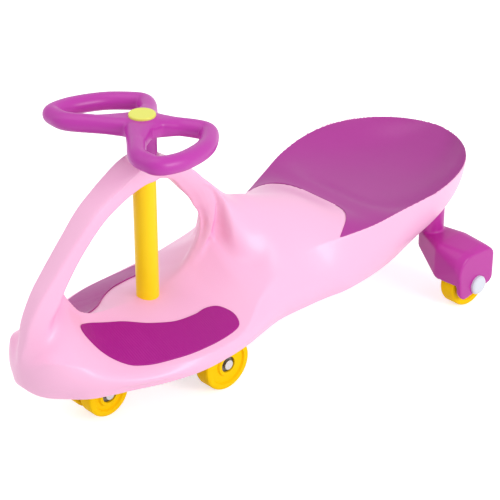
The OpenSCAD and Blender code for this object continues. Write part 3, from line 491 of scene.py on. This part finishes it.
hull_parts = hull_form()
arch_parts = lofted(ARCH_ROWS, arch_ring)
HUB_POST_R = HUB_W - 1
HUB_POST_LOW = ARCH_TOP - HUB_D + 9
HUB_POST_HIGH = ARCH_TOP + 1
hub_post = post_form(HUB_POST_R, HUB_POST_LOW, HUB_POST_HIGH)
shell = joined("shell_skin", [hull_parts, arch_parts, lofted(SPINE_ROWS, spine_ring),
                              lofted(PROW_ROWS, prow_ring), hub_post])
SHELL_VOXEL = 0.0015
SKIN_ROUNDS = 2
remeshed(shell, SHELL_VOXEL)
relax(shell, SKIN_ROUNDS)

# Soft joins of the arch with the hull, in metres
NEAR_GAIN = 1.6
JOIN_REACH = 0.010
JOIN_ROUNDS = 30
JOIN_SOFT_X = (0.12, 0.15)
JOIN_SOFT_Z = (0.195, 0.165)
JOIN_X = 0.07
JOIN_Z = 0.085
JOIN_HALF = 0.06
join = nearness(shell, hull_parts, arch_parts, JOIN_REACH,
                lambda co: (co[:, 2] > JOIN_Z) & (co[:, 0] > JOIN_X) & (np.abs(co[:, 1]) < JOIN_HALF))
place = coords(shell.data)
soft_join = np.maximum(ramp(place[:, 0], *JOIN_SOFT_X), ramp(place[:, 2], *JOIN_SOFT_Z))
relax(shell, JOIN_ROUNDS, np.clip(join * NEAR_GAIN, 0, 1) * soft_join, keep_volume=False)

# Broad fillet at the foot of the front limb, in metres
FOOT_REACH = 0.020
FOOT_ROUNDS = 90
FOOT_LOW = (0.105, 0.12)
FOOT_HIGH = (0.2, 0.17)
FOOT_MIDDLE = (0.004, 0.012)
FOOT_X = 0.27
FOOT_HALF = 0.07
foot = nearness(shell, hull_parts, arch_parts, FOOT_REACH,
                lambda co: ((co[:, 2] > FOOT_LOW[0]) & (co[:, 2] < FOOT_HIGH[0]) & (co[:, 0] > FOOT_X)
                            & (np.abs(co[:, 1]) < FOOT_HALF)))
place = coords(shell.data)
foot *= (ramp(place[:, 2], *FOOT_LOW) * ramp(place[:, 2], *FOOT_HIGH)
         * ramp(np.abs(place[:, 1]), *FOOT_MIDDLE))
relax(shell, FOOT_ROUNDS, np.clip(foot * NEAR_GAIN, 0, 1), keep_volume=False)

# Smooth flanks of the saddle behind the rear limb, in millimetres behind the steering axis
FLANK_ROUNDS = 160
FLANK_HIGH_START = (120, 132)
FLANK_LOW_START = (102, 114)
FLANK_LOW_Z = (190, 170)
FLANK_END = (205, 180)
FLANK_FOOT_Z = (125, 140)
FLANK_HALF = (90, 75)
place = coords(shell.data) / MM
behind = ORIGIN_X - place[:, 0]
flank = np.maximum(ramp(behind, *FLANK_HIGH_START),
                   ramp(behind, *FLANK_LOW_START) * ramp(place[:, 2], *FLANK_LOW_Z))
flank = (flank * ramp(behind, *FLANK_END) * ramp(place[:, 2], *FLANK_FOOT_Z)
         * ramp(np.abs(place[:, 1]), *FLANK_HALF))
relax(shell, FLANK_ROUNDS, flank, keep_volume=False)

# The skin stays inside the box of the solids
place = np.clip(coords(shell.data), cad_low, cad_high)
shell.data.vertices.foreach_set("co", place.ravel())
shell.data.update()
smooth_shade(shell)
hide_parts("body_shell")
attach(shell, "body")


# Seat and foot pads: thin mats with a rounded edge
HALVINGS = 40
SEAT_SPAN = 0.9995
SEAT_EDGE_ROUND = 0.4


def mat_form(outline, middle, shares, high, low):
    """Closed mat over an outline, in rings around its middle."""
    n = len(outline)
    points, faces = [], []
    for height in (high, low):
        start = len(points)
        points.append((middle[0], middle[1], height(middle[0], middle[1], 0)))
        for s in shares:
            for x, y in outline:
                px, py = middle[0] + (x - middle[0]) * s, middle[1] + (y - middle[1]) * s
                points.append((px, py, height(px, py, s)))
        for j in range(n):
            faces.append((start, start + 1 + j, start + 1 + (j + 1) % n))
        for i in range(len(shares) - 1):
            for j in range(n):
                a, b = start + 1 + i * n, start + 1 + (i + 1) * n
                faces.append((a + j, b + j, b + (j + 1) % n, a + (j + 1) % n))
    side = 1 + n * len(shares)
    edge = 1 + n * (len(shares) - 1)
    for j in range(n):
        k = (j + 1) % n
        faces.append((edge + j, edge + k, side + edge + k, side + edge + j))
    return placed(points), faces


def seat_front(y):
    """Front edge of the seat: the tongue's edge, and beyond the tips the rim."""
    if abs(y) <= SEAT_TIP_Y:
        return tongue_x(y)
    ahead, behind = TIP, WIDE
    for _ in range(HALVINGS):
        x = (ahead + behind) / 2
        if rim_y(x) - SEAT_EDGE < abs(y):
            ahead = x
        else:
            behind = x
    return behind


def seat_form(columns=181, rows=90):
    """Closed mat in columns from the front edge to the back edge."""
    half = SEAT_W - SEAT_EDGE
    points = []
    for full in (0, SEAT_T):
        for i in range(columns):
            y = half * SEAT_SPAN * math.sin(math.pi * (i / (columns - 1) - 0.5))
            ahead = seat_front(y)
            behind = WIDE + (TAIL + SEAT_EDGE - WIDE) * math.sqrt(1 - (y / half) ** 2)
            for j in range(rows):
                x = ahead + (behind - ahead) * (1 - math.cos(math.pi * j / (rows - 1))) / 2
                inset = min(ahead - x, x - behind, half - abs(y))
                drop = min(full, SEAT_EDGE_T + inset) if full else SEAT_EDGE_ROUND * (1 - min(1.0, inset))
                points.append((x, y, seat_z(x, y) + SEAT_PROUD - drop))
    size = columns * rows
    faces = []
    for start in (0, size):
        for i in range(columns - 1):
            for j in range(rows - 1):
                a = start + i * rows + j
                faces.append((a, a + 1, a + rows + 1, a + rows))
    edge = list(range(rows))
    edge += [i * rows + rows - 1 for i in range(1, columns)]
    edge += [(columns - 1) * rows + j for j in range(rows - 2, -1, -1)]
    edge += [i * rows for i in range(columns - 2, 0, -1)]
    for a, b in zip(edge, edge[1:] + edge[:1]):
        faces.append((a, b, size + b, size + a))
    return placed(points), faces


seat = joined("seat_skin", [seat_form()])
smooth_shade(seat)
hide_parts("seat_pad")
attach(seat, "body")

PAD_ROWS = [
    (121, 17), (118, 38), (110, 57), (98, 74), (86, 83), (62, 94), (25, DECK_W - 11), (-14, DECK_W - 8),
    (-48, DECK_W - 10), (-62, 101), (-67, 90), (-65, 78), (-57, 66), (-42, 61), (-22, 62), (8, 58), (36, 44),
    (65, 23), (100, 11)]
PAD_MIDDLE = (20, 75)
PAD_STEPS = 10
PAD_RINGS = 24
EDGE_SHARES = [0.97, 0.985, 0.993, 0.998, 1.0]
EDGE_DROP = {0.993: 0.1, 0.998: 0.4, 1.0: 1.0}
pad_outline = [tuple(spline(PAD_ROWS, k / PAD_STEPS, True)) for k in range(len(PAD_ROWS) * PAD_STEPS)]
PAD_SHARES = [k / PAD_RINGS for k in range(1, PAD_RINGS - 1)] + EDGE_SHARES
pads = []
for side, name in ((1, "left"), (-1, "right")):
    pad = joined("foot_mat_" + name, [mat_form(
        [(x, side * y) for x, y in pad_outline], (PAD_MIDDLE[0], side * PAD_MIDDLE[1]), PAD_SHARES,
        lambda x, y, s: top_z(x, y) + PAD_PROUD - EDGE_DROP.get(s, 0),
        lambda x, y, s: top_z(x, y) + PAD_PROUD - PAD_T)])
    smooth_shade(pad)
    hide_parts("foot_pad_" + name)
    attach(pad, "body")
    pads.append(pad)

# Steering wheel: two hand loops that flow into the hub
WHEEL_Z = ARCH_TOP + 41.5
GRIP_R = 11.5
LOOP_FRONT = 64
LOOP_W = 103
LOOP_DROOP = 3.5
LOOP_PITCH = 5
CAP_R = 16.6
CAP_TOP = WHEEL_Z + 15.5
CAP_SEAT = CAP_TOP - 5
CAP_WALL = 1.6
CAP_RIM = CAP_SEAT + 2
NECK_R = 17
NECK_LOW = ARCH_TOP + 3.8
LOOP_ROWS = [
    (16, 10), (27, 18), (LOOP_FRONT - 22, 38), (LOOP_FRONT - 2, 64), (LOOP_FRONT, LOOP_W - 20),
    (LOOP_FRONT - 5, LOOP_W - 5.5), (LOOP_FRONT - 26, LOOP_W), (16, LOOP_W - 1.5), (-14, LOOP_W - 10.5),
    (-37, LOOP_W - 26.5), (-51, 56), (-35, 30), (-20, 17)]
LOOP_STEPS = 8
LOOP_SIDES = 28
WEB_ROWS = (1, 2, len(LOOP_ROWS) - 2, len(LOOP_ROWS) - 1)
WEB_SHARE = 0.96
HUB_PLATE_R = 27
HUB_PLATE_LOW = WHEEL_Z - 9
HUB_PLATE_HIGH = WHEEL_Z + 8
WEB_HUB_SIDES = 32
BALL_SIDES = 20
BALL_ROWS = 6
SAME_POINT = 0.001
WHEEL_VOXEL = 0.0014
WHEEL_ROUNDS = 5
HUB_ROUNDS = 24
HUB_SOFT_REACH = 0.062
HUB_SOFT_SPAN = 0.02
CAP_KEEP_REACH = 0.0165
CAP_KEEP_SPAN = 0.004


def loop_z(x, y):
    return WHEEL_Z + LOOP_PITCH * x / LOOP_FRONT - LOOP_DROOP * abs(y) / LOOP_W


def even_line(points, rounds=40):
    """Evens out the bends of a closed line without shrinking it."""
    line = np.array(points)
    for _ in range(rounds):
        for step in (SMOOTH_STEP, SWELL_STEP):
            line = line + step * ((np.roll(line, 1, axis=0) + np.roll(line, -1, axis=0)) / 2 - line)
    return line


def loop_form(side):
    rings = len(LOOP_ROWS) * LOOP_STEPS
    line = even_line([spline(LOOP_ROWS, k / LOOP_STEPS, True) for k in range(rings)])
    points = []
    for k in range(rings):
        p = line[k]
        run = line[(k + 1) % rings] - line[k - 1]
        out = np.array([run[1], -run[0]]) / np.linalg.norm(run)
        for j in range(LOOP_SIDES):
            a = 2 * math.pi * j / LOOP_SIDES
            flat = p + out * GRIP_R * math.cos(a)
            points.append((flat[0], side * flat[1], loop_z(*p) + GRIP_R * math.sin(a)))
    return placed(points), ring_faces(rings, LOOP_SIDES, closed=True)


def web_form(x, y):
    """Convex web between the hub and a place on a loop."""
    form = bmesh.new()
    half = GRIP_R * WEB_SHARE
    for j in range(WEB_HUB_SIDES):
        a = 2 * math.pi * j / WEB_HUB_SIDES
        for z in (-half, half):
            form.verts.new((NECK_R * math.cos(a), NECK_R * math.sin(a), WHEEL_Z + z))
    for i in range(-BALL_ROWS, BALL_ROWS + 1):
        b = math.pi / (2 * BALL_ROWS) * i
        for j in range(BALL_SIDES):
            a = 2 * math.pi * j / BALL_SIDES
            form.verts.new((x + half * math.cos(b) * math.cos(a), y + half * math.cos(b) * math.sin(a),
                            loop_z(x, y) + half * math.sin(b)))
    bmesh.ops.remove_doubles(form, verts=form.verts, dist=SAME_POINT)
    made = bmesh.ops.convex_hull(form, input=form.verts)
    loose = [v for v in made["geom_interior"] if isinstance(v, bmesh.types.BMVert)]
    bmesh.ops.delete(form, geom=loose, context="VERTS")
    form.verts.index_update()
    points = [tuple(v.co) for v in form.verts]
    faces = [tuple(v.index for v in f.verts) for f in form.faces]
    form.free()
    return placed(points), faces


wheel_parts = [loop_form(1), loop_form(-1), post_form(CAP_R + CAP_WALL, WHEEL_Z, CAP_RIM),
               post_form(NECK_R, NECK_LOW, WHEEL_Z), post_form(HUB_PLATE_R, HUB_PLATE_LOW, HUB_PLATE_HIGH)]
for i in WEB_ROWS:
    for side in (1, -1):
        wheel_parts.append(web_form(LOOP_ROWS[i][0], side * LOOP_ROWS[i][1]))
wheel = joined("hand_wheel", wheel_parts)
remeshed(wheel, WHEEL_VOXEL)
relax(wheel, WHEEL_ROUNDS)
place = coords(wheel.data)
reach = np.hypot(place[:, 0] - ORIGIN_X * MM, place[:, 1])
near_hub = (np.clip((HUB_SOFT_REACH - reach) / HUB_SOFT_SPAN, 0, 1)
            * np.clip((reach - CAP_KEEP_REACH) / CAP_KEEP_SPAN, 0, 1))
relax(wheel, HUB_ROUNDS, near_hub, keep_volume=False)
smooth_shade(wheel)
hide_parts("steering_wheel")
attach(wheel, "steering")

# Rear brackets: the solids with moulded, rounded edges
BRACKET_VOXEL = 0.0013
BRACKET_ROUNDS = 8
SAME_VERTEX = 1e-6
brackets = []
for name in ("left", "right"):
    source = nodes["rear_bracket_" + name].data
    bracket = new_object("wheel_bracket_" + name, [v.co for v in source.vertices],
                         [tuple(p.vertices) for p in source.polygons])
    form = bmesh.new()
    form.from_mesh(bracket.data)
    bmesh.ops.remove_doubles(form, verts=form.verts, dist=SAME_VERTEX)
    bmesh.ops.recalc_face_normals(form, faces=form.faces)
    form.to_mesh(bracket.data)
    form.free()
    remeshed(bracket, BRACKET_VOXEL)
    relax(bracket, BRACKET_ROUNDS, keep_volume=False)
    smooth_shade(bracket)
    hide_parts("rear_bracket_" + name)
    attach(bracket, "body")
    brackets.append(bracket)


# Materials
COAT_ROUGH = 0.12
DRIFT_SCALE = 9.0
DRIFT_DETAIL = 3.0
DRIFT_LOW = 0.3
DRIFT_SPAN = 0.4
GRAIN_DETAIL = 2.0
GRAIN_STRENGTH = 0.3
RIDGE_STRENGTH = 0.6
RIDGE_WAVE = 1.6
RIDGE_WAVE_SCALE = 0.8
# Painted shade in creases: occlusion samples, and the occlusion below which the painted shade colour is full
CREASE_SHADE_SAMPLES = 8
CREASE_SHADE_FULL = 0.4


def material(name, colour, rough, grain=900.0, grain_depth=0.02, spread=0.06, rough_spread=0.06,
             metallic=0.0, coat=0.0, specular=0.5):
    """Moulded or turned surface: slight drift of colour and gloss, and a fine grain in millimetres."""
    mat = bpy.data.materials.new(name)
    mat.use_nodes = True
    tree = mat.node_tree
    shader = tree.nodes["Principled BSDF"]
    shader.inputs["Metallic"].default_value = metallic
    shader.inputs["Coat Weight"].default_value = coat
    shader.inputs["Coat Roughness"].default_value = COAT_ROUGH
    shader.inputs["Specular IOR Level"].default_value = specular
    place = tree.nodes.new("ShaderNodeTexCoord")
    drift = tree.nodes.new("ShaderNodeTexNoise")
    drift.inputs["Scale"].default_value = DRIFT_SCALE
    drift.inputs["Detail"].default_value = DRIFT_DETAIL
    tree.links.new(place.outputs["Object"], drift.inputs["Vector"])
    tones = tree.nodes.new("ShaderNodeValToRGB")
    for stop, factor in ((0, 1 - spread), (1, 1 + spread)):
        element = tones.color_ramp.elements[stop]
        element.position = DRIFT_LOW + DRIFT_SPAN * stop
        element.color = tuple(min(1.0, c * factor) for c in colour) + (1.0,)
    tree.links.new(drift.outputs["Fac"], tones.inputs["Fac"])
    tree.links.new(tones.outputs["Color"], shader.inputs["Base Color"])
    fine = tree.nodes.new("ShaderNodeTexNoise")
    fine.inputs["Scale"].default_value = grain
    fine.inputs["Detail"].default_value = GRAIN_DETAIL
    tree.links.new(place.outputs["Object"], fine.inputs["Vector"])
    span = tree.nodes.new("ShaderNodeMapRange")
    span.inputs["To Min"].default_value = rough - rough_spread
    span.inputs["To Max"].default_value = rough + rough_spread
    tree.links.new(drift.outputs["Fac"], span.inputs["Value"])
    tree.links.new(span.outputs["Result"], shader.inputs["Roughness"])
    bump = tree.nodes.new("ShaderNodeBump")
    bump.inputs["Strength"].default_value = GRAIN_STRENGTH
    bump.inputs["Distance"].default_value = grain_depth * MM
    tree.links.new(fine.outputs["Fac"], bump.inputs["Height"])
    tree.links.new(bump.outputs["Normal"], shader.inputs["Normal"])
    return mat


def srgb(r, g, b):
    """Colour as shown on a screen, 0 to 255, to the shader's own scale."""
    def linear(c):
        c /= 255
        return c / 12.92 if c <= 0.04045 else ((c + 0.055) / 1.055) ** 2.4
    return linear(r), linear(g), linear(b)


def ridged(mat, pitch, depth):
    """Adds fine wavy anti-slip lines to a material; pitch and depth in metres."""
    tree = mat.node_tree
    shader = tree.nodes["Principled BSDF"]
    place = next(n for n in tree.nodes if n.bl_idname == "ShaderNodeTexCoord")
    under = shader.inputs["Normal"].links[0].from_socket
    wave = tree.nodes.new("ShaderNodeTexWave")
    wave.bands_direction = "X"
    wave.inputs["Scale"].default_value = math.pi / (10 * pitch)
    wave.inputs["Distortion"].default_value = RIDGE_WAVE
    wave.inputs["Detail"].default_value = 0.0
    wave.inputs["Detail Scale"].default_value = RIDGE_WAVE_SCALE
    tree.links.new(place.outputs["Object"], wave.inputs["Vector"])
    bump = tree.nodes.new("ShaderNodeBump")
    bump.inputs["Strength"].default_value = RIDGE_STRENGTH
    bump.inputs["Distance"].default_value = depth
    tree.links.new(wave.outputs["Fac"], bump.inputs["Height"])
    tree.links.new(under, bump.inputs["Normal"])
    tree.links.new(bump.outputs["Normal"], shader.inputs["Normal"])


def painted_crease_shade(mat, shade_colour, reach):
    """Painted shade: deeper, more saturated colour painted into creases, standing in for light bounced from
    wall to wall; reach in metres.
    """
    tree = mat.node_tree
    shader = tree.nodes["Principled BSDF"]
    plain = shader.inputs["Base Color"].links[0].from_socket
    crease_occlusion = tree.nodes.new("ShaderNodeAmbientOcclusion")
    crease_occlusion.inputs["Distance"].default_value = reach
    crease_occlusion.only_local = True
    crease_occlusion.samples = CREASE_SHADE_SAMPLES
    span = tree.nodes.new("ShaderNodeMapRange")
    span.inputs["From Min"].default_value = CREASE_SHADE_FULL
    span.inputs["From Max"].default_value = 1.0
    tree.links.new(crease_occlusion.outputs["AO"], span.inputs["Value"])
    mix = tree.nodes.new("ShaderNodeMix")
    mix.data_type = "RGBA"
    tree.links.new(span.outputs["Result"], mix.inputs["Factor"])
    mix.inputs["A"].default_value = shade_colour + (1.0,)
    tree.links.new(plain, mix.inputs["B"])
    tree.links.new(mix.outputs["Result"], shader.inputs["Base Color"])


pink = material("pink_plastic", srgb(248, 186, 221), 0.4, grain=700, spread=0.012, coat=0.1)
# Painted shade: deeper pink painted into the shell's creases and hollows
painted_crease_shade(pink, srgb(250, 120, 184), 0.06)
seat_purple = material("seat_plastic", srgb(170, 50, 147), 0.38, grain=1100, grain_depth=0.05,
                       spread=0.03, specular=0.45)
mat_purple = material("mat_plastic", srgb(165, 6, 134), 0.37, spread=0.04, specular=0.28)
ridged(mat_purple, 0.003, 0.0003)
wheel_purple = material("grip_plastic", srgb(186, 50, 166), 0.36, spread=0.02, specular=0.42)
bracket_purple = material("bracket_plastic", srgb(182, 40, 154), 0.34, spread=0.02, specular=0.4)
lime = material("cap_plastic", srgb(232, 232, 104), 0.4, spread=0.02, specular=0.3)
yellow = material("column_plastic", srgb(255, 218, 8), 0.36, spread=0.008, specular=0.25)
amber = material("tyre_plastic", srgb(255, 208, 4), 0.55, spread=0.02, specular=0.08)
white = material("nylon", srgb(214, 219, 229), 0.4, spread=0.015)
steel = material("steel", (0.56, 0.56, 0.57), 0.32, grain=400, spread=0.1, metallic=1.0)
bearing_steel = material("bearing_steel", (0.16, 0.15, 0.14), 0.4, grain=400, spread=0.15, metallic=1.0)
dark_steel = material("painted_steel", (0.05, 0.05, 0.055), 0.42, grain=500, spread=0.15)


def paint(obj, mat):
    if obj.data.materials:
        for slot in obj.material_slots:
            slot.material = mat
    else:
        obj.data.materials.append(mat)


paint(shell, pink)
paint(seat, seat_purple)
for pad in pads:
    paint(pad, mat_purple)
paint(wheel, wheel_purple)
for bracket in brackets:
    paint(bracket, bracket_purple)
LOOKS = {
    "steering_cap": lime, "steering_column": yellow, "swing_frame": dark_steel,
    "upper_bushing": white, "lower_bushing": white, "thrust_washer": white,
    "rear_hub_cap_left": white, "rear_hub_cap_right": white,
    "body_shell": pink, "seat_pad": seat_purple, "foot_pad_left": mat_purple, "foot_pad_right": mat_purple,
    "steering_wheel": wheel_purple, "rear_bracket_left": bracket_purple, "rear_bracket_right": bracket_purple}
CRISP_ANGLE = 35
for name, obj in nodes.items():
    if name in LOOKS:
        paint(obj, LOOKS[name])
    elif "_wheel_" in name:
        paint(obj, amber)
    elif "_bearings_" in name:
        paint(obj, bearing_steel)
    else:
        paint(obj, steel)
    edge = obj.modifiers.new("crisp", "EDGE_SPLIT")
    edge.split_angle = math.radians(CRISP_ANGLE)
    smooth_shade(obj)

# Camera at the photograph's place
camera_data = bpy.data.cameras.new("camera")
camera = bpy.data.objects.new("camera", camera_data)
bpy.context.scene.collection.objects.link(camera)
CAMERA_AT = Vector((1.4222, 1.4953, 1.2903))
CAMERA_TO = Vector((-0.00472, 0.0, 0.13053))
CAMERA_LENS = 130.09
SENSOR_WIDTH = 36
CLIP_END = 50
camera.location = CAMERA_AT
camera.rotation_euler = (CAMERA_TO - CAMERA_AT).to_track_quat("-Z", "Y").to_euler()
camera_data.sensor_width = SENSOR_WIDTH
camera_data.sensor_fit = "HORIZONTAL"
camera_data.lens = CAMERA_LENS
camera_data.clip_end = CLIP_END
bpy.context.scene.camera = camera


# Soft studio light, a pale floor and a white surround
def lamp(name, at, to, size, power):
    data = bpy.data.lights.new(name, "AREA")
    data.shape = "SQUARE"
    data.size = size
    data.energy = power
    obj = bpy.data.objects.new(name, data)
    bpy.context.scene.collection.objects.link(obj)
    obj.location = at
    obj.rotation_euler = (Vector(to) - Vector(at)).to_track_quat("-Z", "Y").to_euler()


lamp("key", (-0.35, 2.4, 1.2), (-0.05, 0, 0.15), 1.1, 30)
lamp("front", (1.7, -1.1, 1.7), (0.05, 0, 0.2), 1.4, 5)
lamp("top", (0.5, -0.2, 2.4), (0, 0, 0.1), 1.8, 12)


def seen_rays(tree):
    """One for the rays that show the surround: from the camera, off gloss and through glass."""
    path = tree.nodes.new("ShaderNodeLightPath")
    out = path.outputs["Is Camera Ray"]
    for name in ("Is Glossy Ray", "Is Transmission Ray"):
        most = tree.nodes.new("ShaderNodeMath")
        most.operation = "MAXIMUM"
        tree.links.new(out, most.inputs[0])
        tree.links.new(path.outputs[name], most.inputs[1])
        out = most.outputs[0]
    return out


WORLD_LIGHT = 0.64
WORLD_SHOWN = 1.0
FLOOR_TONE = 0.86
FLOOR_GLOW = 0.6
FLOOR = 12.0
WHITE = (1, 1, 1, 1)
world = bpy.data.worlds.new("surround")
bpy.context.scene.world = world
world.use_nodes = True
tree = world.node_tree
tree.nodes.clear()
light = tree.nodes.new("ShaderNodeBackground")
light.inputs["Color"].default_value = WHITE
light.inputs["Strength"].default_value = WORLD_LIGHT
shown = tree.nodes.new("ShaderNodeBackground")
shown.inputs["Color"].default_value = WHITE
shown.inputs["Strength"].default_value = WORLD_SHOWN
mix = tree.nodes.new("ShaderNodeMixShader")
tree.links.new(seen_rays(tree), mix.inputs["Fac"])
tree.links.new(light.outputs[0], mix.inputs[1])
tree.links.new(shown.outputs[0], mix.inputs[2])
end = tree.nodes.new("ShaderNodeOutputWorld")
tree.links.new(mix.outputs[0], end.inputs["Surface"])

floor_mesh = bpy.data.meshes.new("floor")
floor_mesh.from_pydata([(-FLOOR, -FLOOR, 0), (FLOOR, -FLOOR, 0), (FLOOR, FLOOR, 0), (-FLOOR, FLOOR, 0)], [],
                       [(0, 1, 2, 3)])
floor = bpy.data.objects.new("floor", floor_mesh)
bpy.context.scene.collection.objects.link(floor)
pale = bpy.data.materials.new("pale_floor")
pale.use_nodes = True
tree = pale.node_tree
tree.nodes.clear()
matt = tree.nodes.new("ShaderNodeBsdfDiffuse")
matt.inputs["Color"].default_value = (FLOOR_TONE, FLOOR_TONE, FLOOR_TONE, 1)
glow = tree.nodes.new("ShaderNodeEmission")
glow.inputs["Color"].default_value = WHITE
glow.inputs["Strength"].default_value = FLOOR_GLOW
both = tree.nodes.new("ShaderNodeAddShader")
tree.links.new(matt.outputs[0], both.inputs[0])
tree.links.new(glow.outputs[0], both.inputs[1])
mix = tree.nodes.new("ShaderNodeMixShader")
tree.links.new(seen_rays(tree), mix.inputs["Fac"])
tree.links.new(matt.outputs[0], mix.inputs[1])
tree.links.new(both.outputs[0], mix.inputs[2])
end = tree.nodes.new("ShaderNodeOutputMaterial")
tree.links.new(mix.outputs[0], end.inputs["Surface"])
floor_mesh.materials.append(pale)
floor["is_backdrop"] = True

bpy.context.scene.view_settings.view_transform = "Standard"
